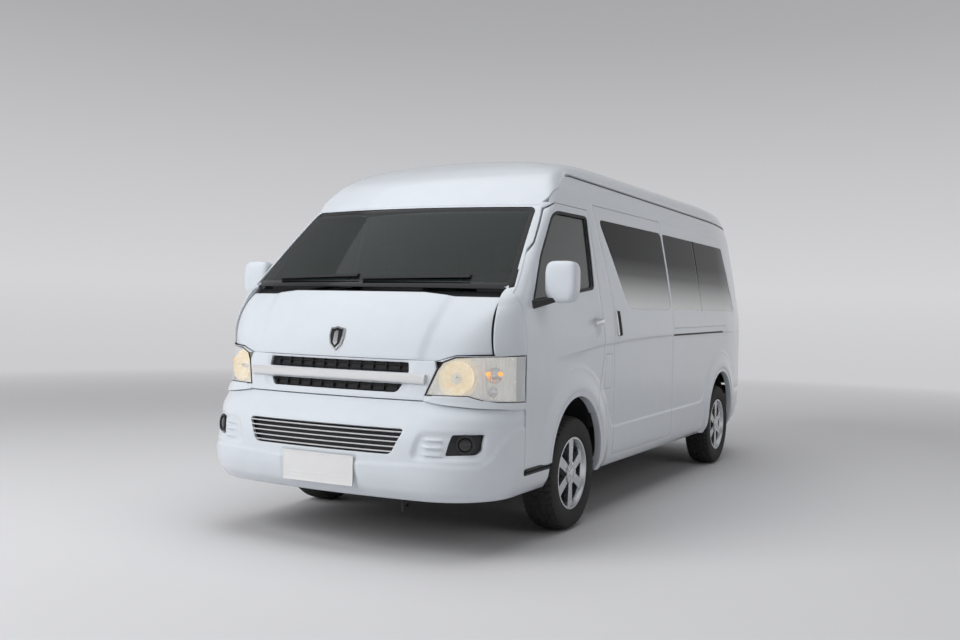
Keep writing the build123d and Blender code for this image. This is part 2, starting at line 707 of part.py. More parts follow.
def bonnet():
    """Short bonnet with pin bores at its rear corners."""
    back = make_face(section(COWL_Z, LOW_NOSE, -PANEL_GAP))
    behind = extrude(Pos(0, 0, -200) * back, 300)
    zone = along(bonnet_face(0, BONNET_TOP_Z), FRONT - 100, FRONT_AXLE_Y)
    body = skin(low, 0, BONNET_THICK, zone)
    cuts = [behind]
    for side in (-1, 1):
        cuts.append(rod((side * (BONNET_HALF - 28.4), BONNET_AXIS_Y, BONNET_AXIS_Z),
                        (side * 1000, BONNET_AXIS_Y, BONNET_AXIS_Z), PIN_R + PIN_ROOM))
    return body - cuts


LOWER_GRILLE = [(-496, 668), (496, 668), (432, 533), (-432, 533)]
FOG_X = 800.0
FOG_Z = 598.0
PLATE_HOLE_SPACING = 210.0
PLATE_HOLE_R = 3.5
PLATE_Z = 434.0


def fog_face(grow):
    """Fog lamp recess outline on the left, seen from the front."""
    points = [(700 - grow, 543 - grow), (700 - grow, 652 + grow), (862 + grow, 652 + grow),
              (846 + grow, 543 - grow)]
    return polygon(points, 14)


def front_bumper():
    """Deep bumper with the lower grille, fog recesses and plate holes."""
    body = skin(low, 0, WALL, along(bumper_face(), FRONT - 100, NOSE_BACK_Y - SEAT))
    fog = along(fog_face(0), FRONT - 100, FRONT + 600)
    cuts = [along(polygon(LOWER_GRILLE, 14), FRONT - 100, FRONT + 400), fog, mirrored(fog)]
    for x in (-PLATE_HOLE_SPACING / 2, PLATE_HOLE_SPACING / 2):
        cuts.append(rod((x, FRONT - 50, PLATE_Z), (x, FRONT + 200, PLATE_Z), PLATE_HOLE_R))
    return body - cuts


def grille():
    """Upper grille frame with its bar, and the slats of the lower grille."""
    edge = [(x - 1, z - 1) for x, z in LAMP_POINTS[:3]]
    half = [(545, BUMPER_TOP_Z + SEAT)] + edge
    zone = polygon(half + [(-x, z) for x, z in reversed(half)])
    frame = skin(low, 8, 40, nose_cut(zone))
    top_slot = polygon([(-448, 990), (448, 990), (436, 936), (-436, 936)], 8)
    low_slot = polygon([(-436, 876), (436, 876), (424, 836), (-424, 836)], 8)
    frame = frame - [nose_cut(top_slot), nose_cut(low_slot)]
    bar_zone = polygon([(-556, 946), (-440, 932), (440, 932), (556, 946), (546, 884),
                        (-546, 884)])
    back_zone = polygon([(-500, 992), (500, 992), (500, 830), (-500, 830)])
    frame = frame + [skin(low, -6, 20, nose_cut(bar_zone)), skin(low, 30, 41, nose_cut(back_zone))]
    opening = along(offset(polygon(LOWER_GRILLE, 14), -SEAT), FRONT - 100, FRONT + 400)
    slats = [opening & box(-FAR, FAR, FRONT, FRONT + 400, z, z + 12) for z in (552, 583, 614, 645)]
    slats = (low(12) & (slats[0] + slats[1:])) - low(36)
    return Compound(children=[frame, slats + skin(low, 34, 44, opening)])


def headlamps():
    """Wrap-round headlamps and fog lamps, both sides."""
    lens = skin(low, 2, 44, nose_cut(offset(polygon(LAMP_POINTS), -SEAT)))
    fog = skin(low, 16, 44, along(offset(fog_face(0), -SEAT), FRONT - 100, FRONT + 600))
    return Compound(children=[lens, fog, mirrored(lens), mirrored(fog)])


def tail_lamps():
    """Tall lamps on the rear corners beside the tailgate."""
    outline = polygon([(822, 880), (940, 880), (930, 1250), (820, 1250)])
    lamp = skin(low, -8, -SEAT, along(outline, REAR - 160, REAR + 100))
    return Compound(children=[lamp, mirrored(lamp)])


BUMPER_REACH = 28.0
REAR_BUMPER_Y = REAR - 440


def rear_bumper_zone(grow):
    """Space of the rear bumper round the lower rear corners."""
    return box(-FAR, FAR, REAR_BUMPER_Y - grow, REAR + 100, 345 - grow, 598 + grow)


def rear_bumper():
    """Rear bumper that stands proud of the body round the corners."""
    return skin(low, -BUMPER_REACH, WALL, rear_bumper_zone(0))


def mud_flaps():
    """Rubber flaps behind the wheels, against the liners."""
    flaps = []
    for axle_y, z0 in ((FRONT_AXLE_Y, 240), (REAR_AXLE_Y, 212)):
        y = axle_y + LINER_R + LINER_THICK + SEAT
        flap = box(660, 830, y, y + 8, z0, 460)
        flaps += [flap, mirrored(flap)]
    return Compound(children=flaps)


def liner(y, inner_x):
    """Wheelhouse liner on the left: a half ring with legs and an inner wall."""
    outer_r = LINER_R + LINER_THICK
    edge_x = LINER_EDGE_X
    ring = extrude(Plane.YZ.offset(inner_x) * Pos(y, ARCH_Z) * Circle(outer_r), edge_x - inner_x)
    legs = box(inner_x, edge_x, y - outer_r, y + outer_r, LINER_FOOT_Z, ARCH_Z)
    disc = Plane.YZ.offset(inner_x + LINER_THICK) * Pos(y, ARCH_Z) * Circle(LINER_R)
    room = extrude(disc, edge_x)
    cuts = [box(inner_x + LINER_THICK, FAR, y - LINER_R, y + LINER_R, 0, ARCH_Z),
            box(0, FAR, y - 500, y + 500, 0, LINER_FOOT_Z),
            box(0, inner_x + LINER_THICK + 1, y - 90, y + 90, 0, 560)]
    return (ring + legs) - ([room] + cuts)


def wheelhouse_liners():
    """Liners over all four wheels."""
    front = liner(FRONT_AXLE_Y, FRONT_WELL_X)
    rear = liner(REAR_AXLE_Y, REAR_WELL_X)
    return Compound(children=[front, mirrored(front), rear, mirrored(rear)])


def floor_pan():
    """Cabin floor, raised seat platform over the front wheels, cab floor and bulkhead."""
    top = FLOOR_Z + FLOOR_THICK
    wall = LINER_R + LINER_THICK + SEAT
    rear_edge = FRONT_AXLE_Y + wall + FLOOR_THICK
    front_edge = FRONT_AXLE_Y - wall - FLOOR_THICK
    platform_top = PLATFORM_Z + FLOOR_THICK
    wells = []
    for side in (-1, 1):
        x0, x1 = sorted((side * (REAR_WELL_X - SEAT), side * FAR))
        wells.append(box(x0, x1, REAR_AXLE_Y - wall, REAR_AXLE_Y + wall, 0, top + 10))
    main = (low(WALL + SEAT) & box(-FAR, FAR, rear_edge - FLOOR_THICK, REAR - 130, FLOOR_Z, top))
    main = main - wells
    cab = box(-FAR, FAR, FRONT + 140, front_edge + FLOOR_THICK, FLOOR_Z, top)
    raised = [box(-FAR, FAR, front_edge, rear_edge, PLATFORM_Z, platform_top),
              box(-FAR, FAR, front_edge, front_edge + FLOOR_THICK, FLOOR_Z, platform_top),
              box(-FAR, FAR, rear_edge - FLOOR_THICK, rear_edge, FLOOR_Z, platform_top)]
    cab = low(CAB_INSET) & (cab + raised)
    bulkhead = skin(low, 56, 68, box(-FAR, FAR, FRONT, FRONT_AXLE_Y - 780, FLOOR_Z, 1280))
    swept = door_sweep(0, HEADER_Z)
    return (main + [cab, bulkhead]) - [swept, mirrored(swept)]


def dashboard():
    """Dashboard across the cab against the bulkhead."""
    outline = polygon([(FRONT, 960), (FRONT_AXLE_Y - 640, 960), (FRONT_AXLE_Y - 575, 1080),
                       (FRONT_AXLE_Y - 610, 1240), (FRONT_AXLE_Y - 700, 1278), (FRONT, 1278)])
    return low(68 + SEAT) & across(outline, -HALF + 130, HALF - 130)


STEER_X = -385.0
STEER_Y = FRONT_AXLE_Y - 400
STEER_Z = 1170.0
STEER_TILT = 32.0
STEER_R = 190.0


def steer_plane(lift):
    """Plane square to the steering column, lifted along it from the wheel's centre."""
    tilt = math.radians(STEER_TILT)
    axis = Vector(0, math.sin(tilt), math.cos(tilt))
    return Plane(origin=Vector(STEER_X, STEER_Y, STEER_Z) + axis * lift, x_dir=(1, 0, 0),
                 z_dir=axis)


def steering_column():
    """Column from the cab floor up through the dashboard's edge to the steering wheel."""
    tilt = math.radians(STEER_TILT)
    drop = (STEER_Z - 40 - FLOOR_Z - FLOOR_THICK) / math.cos(tilt)
    tube = extrude(steer_plane(-40) * Circle(28), -drop)
    shaft = extrude(steer_plane(-40) * Circle(9), 30)
    floor_side = box(-FAR, FAR, -FAR, FAR, 0, FLOOR_Z + FLOOR_THICK + SEAT)
    return tube + shaft - floor_side


def steering_wheel():
    """Rim, hub and three spokes, bored for the column's shaft."""
    rim = steer_plane(0) * Torus(STEER_R - 14, 14)
    hub = extrude(steer_plane(-38) * Circle(38), 50)
    spokes = Part()
    for turn in (180, 0, 270):
        bar = Rot(0, 0, turn) * Pos(STEER_R / 2, 0, -6) * Box(STEER_R - 24, 34, 12)
        spokes += steer_plane(0) * bar
    body = rim + hub + spokes
    return body - extrude(steer_plane(-60) * Circle(9.4), 50.4)


SEAT_DEPTH = 460.0


def seat(x, y, width, base_z, floor_z, rests):
    """One seat: legs box, cushion, back and headrests at the given places."""
    half = width / 2
    back_y = y + SEAT_DEPTH
    legs = box(x - half + 40, x + half - 40, y + 40, back_y - 60, floor_z + SEAT, base_z + 20)
    cushion = fillet(box(x - half, x + half, y, back_y, base_z, base_z + 110).edges(), 28)
    back = fillet(box(x - half, x + half, back_y - 110, back_y, base_z + 40,
                      base_z + 640).edges(), 28)
    pieces = [cushion, back]
    for rest_x in rests:
        pad = box(rest_x - 130, rest_x + 130, back_y - 105, back_y - 15, base_z + 665,
                  base_z + 815)
        pieces.append(fillet(pad.edges(), 25))
        for dx in (-60, 60):
            pieces.append(rod((rest_x + dx, back_y - 60, base_z + 600),
                              (rest_x + dx, back_y - 60, base_z + 700), 7))
    return legs + pieces


def front_seats():
    """Driver's seat and the passenger seat."""
    floor = PLATFORM_Z + FLOOR_THICK
    y = FRONT_AXLE_Y - 255
    one = seat(430, y, 500, floor + 20, floor, [430])
    return Compound(children=[one, mirrored(one)])


ROW_Y = (FRONT_AXLE_Y + 560, FRONT_AXLE_Y + 1330, FRONT_AXLE_Y + 2100, FRONT_AXLE_Y + 2870)
ROW_HALF = (800.0, 800.0, 800.0, 620.0)


def rear_seats():
    """Four rows: a double bench on one side and a single seat on the other of the aisle."""
    seats = []
    floor = FLOOR_Z + FLOOR_THICK
    base = floor + 270
    for y, half in zip(ROW_Y, ROW_HALF):
        single = half / 2
        seats.append(seat(half / 2, y, half, base, floor, [half / 4, 3 * half / 4]))
        seats.append(seat(-half + single / 2, y, single, base, floor, [-half + single / 2]))
    return Compound(children=seats)


def chassis_frame():
    """Two rails with crossmembers and tow eyes under the floor."""
    top = FLOOR_Z - SEAT
    y = FRONT_AXLE_Y
    rail = box(RAIL_X - RAIL_WIDTH / 2, RAIL_X + RAIL_WIDTH / 2, FRONT, REAR - 150, RAIL_BOTTOM,
               top)
    outer_x = RAIL_X + RAIL_WIDTH / 2
    post = box(RAIL_X - 25, outer_x, y - 40, y + 40, 250, RAIL_BOTTOM + 20)
    prop = box(RAIL_X - 25, RAIL_X + 25, y + 250, y + 310, 340, RAIL_BOTTOM + 20)
    pieces = [mirrored(rail), post, mirrored(post), prop, mirrored(prop),
              box(-outer_x, outer_x, y - 40, y + 40, 250, 300),
              box(-RAIL_X, RAIL_X, y + 250, y + 310, 340, 379)]
    for member_y in (FRONT + 190, y + 700, y + 1500, REAR_AXLE_Y - 820, REAR - 225):
        pieces.append(box(-RAIL_X, RAIL_X, member_y, member_y + 70, RAIL_BOTTOM + 10, top - 20))
    frame = (rail + pieces) - (box(-FAR, FAR, FRONT - 1, y - 900, 0, FLOOR_Z) - low(WALL + SEAT))
    return frame + [tow_eye(FRONT + 210, 1), tow_eye(REAR - 200, -1)]


TOW_EYE_R = 17.0
TOW_EYE_THICK = 16.0
TOW_EYE_Z = 262.0


def tow_eye(y, direction):
    """Plate with a round eye under the end of a rail."""
    x = RAIL_X * direction
    plate = box(x - TOW_EYE_THICK / 2, x + TOW_EYE_THICK / 2, y - 40, y + 40, TOW_EYE_Z - 36,
                RAIL_BOTTOM + 10)
    return plate - rod((x - 50, y, TOW_EYE_Z), (x + 50, y, TOW_EYE_Z), TOW_EYE_R)


def engine_block():
    """Engine as one block between the front wheels."""
    block = box(-235, 235, FRONT_AXLE_Y - 250, FRONT_AXLE_Y + 330, 379 + SEAT, PLATFORM_Z - 20)
    return fillet(block.edges(), 20)


KNUCKLE_LOW = 205.0
KNUCKLE_HIGH = 450.0


def front_suspension():
    """Lower and upper arms from the crossmember out to the kingpins."""
    start = RAIL_X + RAIL_WIDTH / 2 + SEAT
    y = FRONT_AXLE_Y
    root = box(start, start + 40, y - 24, y + 24, KNUCKLE_LOW - 28, KNUCKLE_HIGH + 26)
    arm = root + [box(start, KINGPIN_X + 22, y - 24, y + 24, KNUCKLE_LOW - 28, KNUCKLE_LOW - SEAT),
                  box(start, KINGPIN_X + 22, y - 20, y + 20, KNUCKLE_HIGH + SEAT,
                      KNUCKLE_HIGH + 26)]
    return Compound(children=[arm, mirrored(arm)])


def knuckle(side):
    """Steering knuckle with its kingpin post, spindle and brake disc."""
    y, z = FRONT_AXLE_Y, TYRE_R
    post = rod((KINGPIN_X, y, KNUCKLE_LOW), (KINGPIN_X, y, KNUCKLE_HIGH), 20)
    spindle = rod((KINGPIN_X, y, z), (WHEEL_X + 40, y, z), SPINDLE_R)
    disc = rod((WHEEL_X - 22, y, z), (WHEEL_X, y, z), 135)
    body = post + spindle + disc
    return body if side > 0 else mirrored(body)


def rear_axle():
    """Live rear axle with drums, spindles and leaf springs on hangers."""
    y, z = REAR_AXLE_Y, TYRE_R
    axle = rod((-WHEEL_X - 40, y, z), (WHEEL_X + 40, y, z), SPINDLE_R)
    axle = axle + rod((-WHEEL_X + 90, y, z), (WHEEL_X - 90, y, z), 42)
    axle = axle + Pos(0, y, z) * Sphere(135)
    for side in (-1, 1):
        drum0 = side * (WHEEL_X - 60)
        axle = axle + rod((drum0, y, z), (side * (WHEEL_X + 5), y, z), 130)
        x0, x1 = sorted((side * (RAIL_X - 32), side * (RAIL_X + 32)))
        axle = axle + box(x0, x1, y - 620, y + 620, z - 66, z - 38)
        axle = axle + box(x0, x1, y - 300, y + 300, z - 84, z - 64)
        axle = axle + box(x0, x1, y - 50, y + 50, z - 84, z)
        for end in (-600, 600):
            axle = axle + box(x0, x1, y + end - 20, y + end + 20, z - 66, RAIL_BOTTOM - SEAT)
    return axle


def propshaft():
    """Shaft from the engine to the rear axle."""
    start = (0, FRONT_AXLE_Y + 330 + SEAT, 405)
    return rod(start, (0, REAR_AXLE_Y - 136, 345), 34)


def fuel_tank():
    """Flat tank outside the left rail, under the cabin floor."""
    tank = box(RAIL_X + 45, HALF - 110, FRONT_AXLE_Y + 760, FRONT_AXLE_Y + 1760, 320,
               FLOOR_Z - SEAT)
    return fillet(tank.edges().filter_by(Axis.Y), 30)


def exhaust():
    """Silencer and tailpipe on hangers under the floor."""
    x = -250
    pipe = rod((x, FRONT_AXLE_Y + 360, 380), (x, REAR_AXLE_Y - 420, 380), 27)
    body = pipe + fillet(box(x - 110, x + 110, FRONT_AXLE_Y + 1500, FRONT_AXLE_Y + 2150, 310,
                             430).edges(), 30)
    for y in (FRONT_AXLE_Y + 600, REAR_AXLE_Y - 700):
        body = body + box(x - 10, x + 10, y, y + 20, 380, FLOOR_Z - SEAT)
    return body


def spare_wheel():
    """Spare wheel slung flat under the rear floor."""
    y = REAR - 560
    ring = Pos(0, y, 430) * Cylinder(TYRE_R - 5, 180)
    ring = fillet(ring.edges(), 40)
    hanger = rod((0, y, 500), (0, y, FLOOR_Z - SEAT), 20)
    return ring + hanger


def wipers():
    """Two wiper arms lying along the foot of the windscreen."""
    arms = []
    for x0, x1 in ((-640, -40), (0, 620)):
        zone = along(polygon([(x0, SCREEN_LOW_Z + 37), (x1, SCREEN_LOW_Z + 52),
                              (x1, SCREEN_LOW_Z + 66), (x0, SCREEN_LOW_Z + 51)]),
                     FRONT, FRONT_AXLE_Y)
        arms.append(skin(screen, -12, GLASS_INSET - SEAT, zone))
    return Compound(children=arms)


def tyre():
    """Tyre section turned round the wheel's axis."""
    half = TYRE_WIDTH / 2
    bead = half - 8
    profile = Polyline((-bead, RIM_R + SEAT), (bead, RIM_R + SEAT), (half, RIM_R + 45),
                       (half, TYRE_R - 34), (half - 22, TYRE_R - 5), (half - 34, TYRE_R),
                       (-half + 34, TYRE_R), (-half + 22, TYRE_R - 5), (-half, TYRE_R - 34),
                       (-half, RIM_R + 45), close=True)
    return revolve(make_face(profile), Axis.X)


def rim():
    """Alloy rim on the wheel's own axis, outer side towards +X."""
    half = TYRE_WIDTH / 2 - 8
    barrel = Polyline((-half, RIM_R), (half, RIM_R), (half, RIM_R - 12), (half - 30, RIM_R - 24),
                      (-half, RIM_R - 24), close=True)
    body = revolve(make_face(barrel), Axis.X)
    hub = rod((half - 62, 0, 0), (half - 6, 0, 0), 64)
    body = body + hub
    for i in range(6):
        spoke = polygon([(-24, 40), (24, 40), (32, RIM_R - 18), (-32, RIM_R - 18)])
        blade = extrude(Plane.YZ.offset(half - 38) * spoke, 26)
        body = body + Rot(i * 60, 0, 0) * blade
    bore = rod((-FAR, 0, 0), (52, 0, 0), SPINDLE_R + SEAT)
    return body - bore


def place_wheel(shape, side, y):
    """A wheel piece moved to its axle, mirrored on the right."""
    left = Pos(WHEEL_X, y, TYRE_R) * shape
    return left if side > 0 else mirrored(left)


def save(name, shape):
    """Write one sub-part."""
    export_step(shape, f"parts/{name}.step")


def main():
    """Build every sub-part and write it."""
    os.makedirs("parts", exist_ok=True)
    save("front_structure", front_structure())
    save("roof_panel", roof_panel())
    save("left_side_wall", left_side_wall())
    save("right_side_wall", right_side_wall())
    save("sliding_door", sliding_door())
    save("side_glass", side_glass())
    save("windscreen", windscreen())
    save("bonnet", bonnet())
    save("front_bumper", front_bumper())
    save("front_steps", front_steps())
    save("rear_bumper", rear_bumper())
    save("grille", grille())
    save("headlamps", headlamps())
    save("tail_lamps", tail_lamps())
    save("wipers", wipers())
    save("tailgate", tailgate())
    save("tailgate_glass", tailgate_glass())
    save("fuel_lid", fuel_lid())
    save("mud_flaps", mud_flaps())
    save("wheelhouse_liners", wheelhouse_liners())
    save("floor_pan", floor_pan())
    save("dashboard", dashboard())
    save("steering_column", steering_column())
    save("steering_wheel", steering_wheel())
    save("front_seats", front_seats())
    save("rear_seats", rear_seats())
    save("chassis_frame", chassis_frame())
    save("engine_block", engine_block())
    save("front_suspension", front_suspension())
    save("rear_axle", rear_axle())
    save("propshaft", propshaft())
    save("fuel_tank", fuel_tank())
    save("exhaust", exhaust())
    save("spare_wheel", spare_wheel())
    for side, word in ((1, "left"), (-1, "right")):
        save(f"{word}_front_door", front_door(side))
        save(f"{word}_door_glass", door_glass(side))
        save(f"{word}_mirror", mirror_unit(side))
        save(f"{word}_knuckle", knuckle(side))
        for end, y in (("front", FRONT_AXLE_Y), ("rear", REAR_AXLE_Y)):
            save(f"{end}_{word}_tyre", place_wheel(tyre(), side, y))
            save(f"{end}_{word}_rim", place_wheel(rim(), side, y))


main()
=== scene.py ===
"""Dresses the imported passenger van: bodywork, glass, lamps, wheels, cabin, light and camera."""
import logging
import math
from collections.abc import Callable, Sequence
from dataclasses import dataclass, fields, replace
from enum import Enum

import bpy
import numpy as np
from mathutils import Matrix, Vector
from mathutils.geometry import delaunay_2d_cdt


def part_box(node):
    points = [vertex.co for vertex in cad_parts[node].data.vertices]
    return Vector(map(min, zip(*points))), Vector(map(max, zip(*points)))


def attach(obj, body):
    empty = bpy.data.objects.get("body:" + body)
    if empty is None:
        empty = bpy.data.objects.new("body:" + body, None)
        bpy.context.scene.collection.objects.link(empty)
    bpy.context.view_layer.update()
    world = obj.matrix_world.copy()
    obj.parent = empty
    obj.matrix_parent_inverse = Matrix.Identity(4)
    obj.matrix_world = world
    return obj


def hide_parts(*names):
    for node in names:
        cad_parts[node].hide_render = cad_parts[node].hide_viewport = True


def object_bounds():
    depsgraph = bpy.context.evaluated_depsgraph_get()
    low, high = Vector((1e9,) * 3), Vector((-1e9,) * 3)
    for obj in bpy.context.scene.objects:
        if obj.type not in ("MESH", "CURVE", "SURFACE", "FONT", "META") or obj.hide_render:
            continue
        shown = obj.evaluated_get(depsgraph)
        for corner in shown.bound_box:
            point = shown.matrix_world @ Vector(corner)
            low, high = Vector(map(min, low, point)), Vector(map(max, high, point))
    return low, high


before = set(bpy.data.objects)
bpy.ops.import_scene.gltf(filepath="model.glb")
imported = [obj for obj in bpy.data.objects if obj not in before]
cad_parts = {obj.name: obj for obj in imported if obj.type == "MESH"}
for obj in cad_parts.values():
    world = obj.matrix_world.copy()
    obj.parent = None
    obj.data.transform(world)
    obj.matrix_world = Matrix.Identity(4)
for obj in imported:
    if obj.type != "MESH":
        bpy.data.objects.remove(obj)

LOG = logging.getLogger("van")
CAD_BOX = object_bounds()
TYRE_LOW, TYRE_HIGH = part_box("front_left_tyre")
AXLE_Y = (TYRE_LOW[1] + TYRE_HIGH[1]) / 2
REAR_LOW, REAR_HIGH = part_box("rear_left_tyre")
WHEELBASE = (REAR_LOW[1] + REAR_HIGH[1]) / 2 - AXLE_Y
ARCH_Z, ARCH_R = 0.410, 0.366  # middle and radius of a wheel opening
GAP = 0.0065  # seam beside a moving panel
SKIN, PANE = 0.012, 0.004  # thickness of a plain panel, and of glass or a thin bed
FINE, COARSE = 0.012, 0.014  # spacing of the points of outlines
ON_AXIS = 1e-4  # radius that stands for nought in a turned profile
TINY = 1e-9  # keeps a length from dividing by nought
SCREEN_EDGE = ((0.861, 1.386), (0.812, 1.620), (0.764, 1.862))
Relief = Callable[[np.ndarray], np.ndarray]
Socket = bpy.types.NodeSocket


class Side(Enum):
    """Which side of the van a piece is on."""

    LEFT = 1
    RIGHT = -1


class View(Enum):
    """The plane in which a seam is drawn: from the side, the front or the back."""

    SIDE = "side"
    FRONT = "front"
    BACK = "back"


# ---- meshes ----
@dataclass
class Shape:
    """Vertices, triangles or quads, and one material number for each face."""

    verts: np.ndarray
    faces: list
    mats: list

    @staticmethod
    def join(shapes: list) -> "Shape":
        """One shape holding all the given ones.

        Args:
            shapes: The shapes to join.

        Returns:
            The joined shape.
        """
        verts, faces, mats, base = [], [], [], 0
        for shape in shapes:
            verts.append(shape.verts)
            faces += [tuple(int(i) + base for i in face) for face in shape.faces]
            mats += list(shape.mats)
            base += len(shape.verts)
        return Shape(np.vstack(verts), faces, mats)

    def mirrored(self) -> "Shape":
        """The same shape on the other side of the van, with its faces turned to stay outwards."""
        return Shape(self.verts * (-1, 1, 1), [tuple(f)[::-1] for f in self.faces], self.mats)

    def on(self, side: Side) -> "Shape":
        """This shape, drawn for the left, on the side asked for."""
        return self if side is Side.LEFT else self.mirrored()

    def painted(self, number: int) -> "Shape":
        """The same shape with one material number throughout."""
        return Shape(self.verts, self.faces, [number] * len(self.faces))

    def moved(self, place: np.ndarray) -> "Shape":
        """The same shape moved by a vector."""
        return Shape(self.verts + place, self.faces, self.mats)

    @staticmethod
    def pair(*shapes: "Shape") -> "Shape":
        """Shapes drawn for the left, joined with the same ones on the right."""
        return Shape.join([shape.on(side) for side in Side for shape in shapes])


def place_piece(name: str, shape: Shape, finishes: list, replaces: tuple = (),
                body: str = "shell") -> bpy.types.Object:
    """Make a Blender object of a shape, at the origin, riding on a body.

    Args:
        name: The piece's name.
        shape: Its mesh.
        finishes: Materials, in the order of the shape's material numbers.
        replaces: CAD nodes it stands for.
        body: The body it rides on.

    Returns:
        The object.
    """
    mesh = bpy.data.meshes.new(name)
    mesh.from_pydata(shape.verts.tolist(), [], shape.faces)
    for finish in finishes:
        mesh.materials.append(finish)
    mesh.polygons.foreach_set("material_index", np.asarray(shape.mats, dtype=np.int32))
    mesh.update()
    mesh.shade_smooth()
    mesh.set_sharp_from_angle(angle=math.radians(50))
    piece = bpy.data.objects.new(name, mesh)
    bpy.context.scene.collection.objects.link(piece)
    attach(piece, body)
    if replaces:
        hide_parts(*replaces)
    LOG.info("%s: %d faces", name, len(shape.faces))
    return piece


def grid_faces(rows: int, columns: int, wrap_rows: bool = False,
               wrap_columns: bool = False) -> list:
    """Quads of a grid of points laid row by row.

    Args:
        rows: Number of rows.
        columns: Number of columns.
        wrap_rows: Whether the last row joins the first.
        wrap_columns: Whether the last column joins the first.

    Returns:
        Quads, each (this, next column, next row and column, next row).
    """
    i = np.arange(rows if wrap_rows else rows - 1)[:, None]
    j = np.arange(columns if wrap_columns else columns - 1)[None, :]
    i2, j2 = (i + 1) % rows, (j + 1) % columns
    quads = np.stack(np.broadcast_arrays(i * columns + j, i * columns + j2,
                                         i2 * columns + j2, i2 * columns + j), -1)
    return quads.reshape(-1, 4).tolist()


def grid_shape(points: np.ndarray, wrap_rows: bool = False, wrap_columns: bool = False,
               caps: bool = False) -> Shape:
    """Surface through a grid of points.

    Args:
        points: Points of shape (rows, columns, 3).
        wrap_rows: Whether the last row joins the first.
        wrap_columns: Whether the last column joins the first.
        caps: Whether the first and last rows are closed with one face each.

    Returns:
        The surface.
    """
    rows, columns = points.shape[:2]
    faces = grid_faces(rows, columns, wrap_rows, wrap_columns)
    if caps:
        faces.append(list(range(columns))[::-1])
        faces.append(list(range((rows - 1) * columns, rows * columns)))
    return Shape(points.reshape(-1, 3), faces, [0] * len(faces))


def unit(vectors: np.ndarray) -> np.ndarray:
    """Vectors along the last axis, brought to length one."""
    return vectors / np.maximum(np.linalg.norm(vectors, axis=-1, keepdims=True), TINY)


def pairs(first: np.ndarray, second: np.ndarray) -> np.ndarray:
    """Points (n, 2) of every pair of two rows of values, the first running fastest."""
    return np.stack([grid.ravel() for grid in np.meshgrid(first, second)], 1)


def arc_sag(x: np.ndarray, radius: float) -> np.ndarray:
    """How far an arc through nought has fallen back at x from its middle."""
    return radius - np.sqrt(np.maximum(radius ** 2 - x * x, 0))


def smooth_step(value: np.ndarray) -> np.ndarray:
    """Zero below 0, one above 1, and 3t^2 - 2t^3 between."""
    t = np.clip(value, 0, 1)
    return t * t * (3 - 2 * t)


def soft_min(first: np.ndarray, second: np.ndarray, blend: float) -> np.ndarray:
    """The lesser of two values, rounded over where they are within blend of each other.

    It is the lesser one, less (blend - |difference|)^2 / (4 blend) where that is positive.
    """
    gap = np.maximum(blend - np.abs(first - second), 0)
    return np.minimum(first, second) - gap * gap / (4 * blend)


def inside(points: np.ndarray, loop: np.ndarray) -> np.ndarray:
    """Which points lie inside a closed loop, by counting the edges to their right.

    Args:
        points: Points (n, 2).
        loop: The loop's corners (m, 2).

    Returns:
        A True or False for each point.
    """
    a, b = loop, np.roll(loop, -1, axis=0)
    result = np.zeros(len(points), dtype=bool)
    for start in range(0, len(points), 4000):
        x = points[start:start + 4000, 0, None]
        z = points[start:start + 4000, 1, None]
        spans = (a[None, :, 1] > z) != (b[None, :, 1] > z)
        rise = np.where(b[:, 1] == a[:, 1], 1.0, b[:, 1] - a[:, 1])
        cross = a[:, 0] + (z - a[:, 1]) * (b[:, 0] - a[:, 0]) / rise
        result[start:start + 4000] = (np.sum(spans & (x < cross), axis=1) % 2) == 1
    return result


def rounded(points: list, radius: float, steps: int = 5) -> np.ndarray:
    """Closed outline with each corner replaced by a curve of the given size.

    Each corner becomes a quadratic curve from one side to the other, tangent to both.

    Args:
        points: Corners (n, 2).
        radius: How far from a corner the curve starts.
        steps: Points on each curve.

    Returns:
        The outline's points (m, 2).
    """
    p = np.asarray(points, dtype=float)
    before, after = np.roll(p, 1, axis=0) - p, np.roll(p, -1, axis=0) - p
    length_b = np.linalg.norm(before, axis=1, keepdims=True)
    length_a = np.linalg.norm(after, axis=1, keepdims=True)
    start = p + before * np.minimum(radius / length_b, 0.45)
    end = p + after * np.minimum(radius / length_a, 0.45)
    t = np.linspace(0, 1, steps)[None, :, None]
    curve = (1 - t) ** 2 * start[:, None] + 2 * t * (1 - t) * p[:, None] + t * t * end[:, None]
    return curve.reshape(-1, 2)


def dense(points: np.ndarray, step: float, closed: bool = True) -> np.ndarray:
    """The same line with points no further apart than step."""
    p = np.asarray(points, dtype=float)
    ends = np.roll(p, -1, axis=0) if closed else p[1:]
    starts = p if closed else p[:-1]
    keep = np.linalg.norm(ends - starts, axis=1) > 1e-6
    starts, ends = starts[keep], ends[keep]
    counts = np.ceil(np.linalg.norm(ends - starts, axis=1) / step).astype(int)
    parts = [s + (e - s) * (np.arange(n)[:, None] / n)
             for s, e, n in zip(starts, ends, counts)]
    return np.vstack(parts if closed else parts + [p[-1:]])


def grown(loop: np.ndarray, amount: float) -> np.ndarray:
    """A closed loop moved outwards by an amount, along the mean normal at each point."""
    area = np.sum(loop[:, 0] * np.roll(loop[:, 1], -1) - np.roll(loop[:, 0], -1) * loop[:, 1])
    edge = unit(np.roll(loop, -1, axis=0) - loop)
    normal = np.stack([edge[:, 1], -edge[:, 0]], 1) * (1 if area > 0 else -1)
    both = normal + np.roll(normal, 1, axis=0)
    scale = np.maximum(np.sum(both * normal, axis=1, keepdims=True), 0.7)
    return loop + both / scale * amount


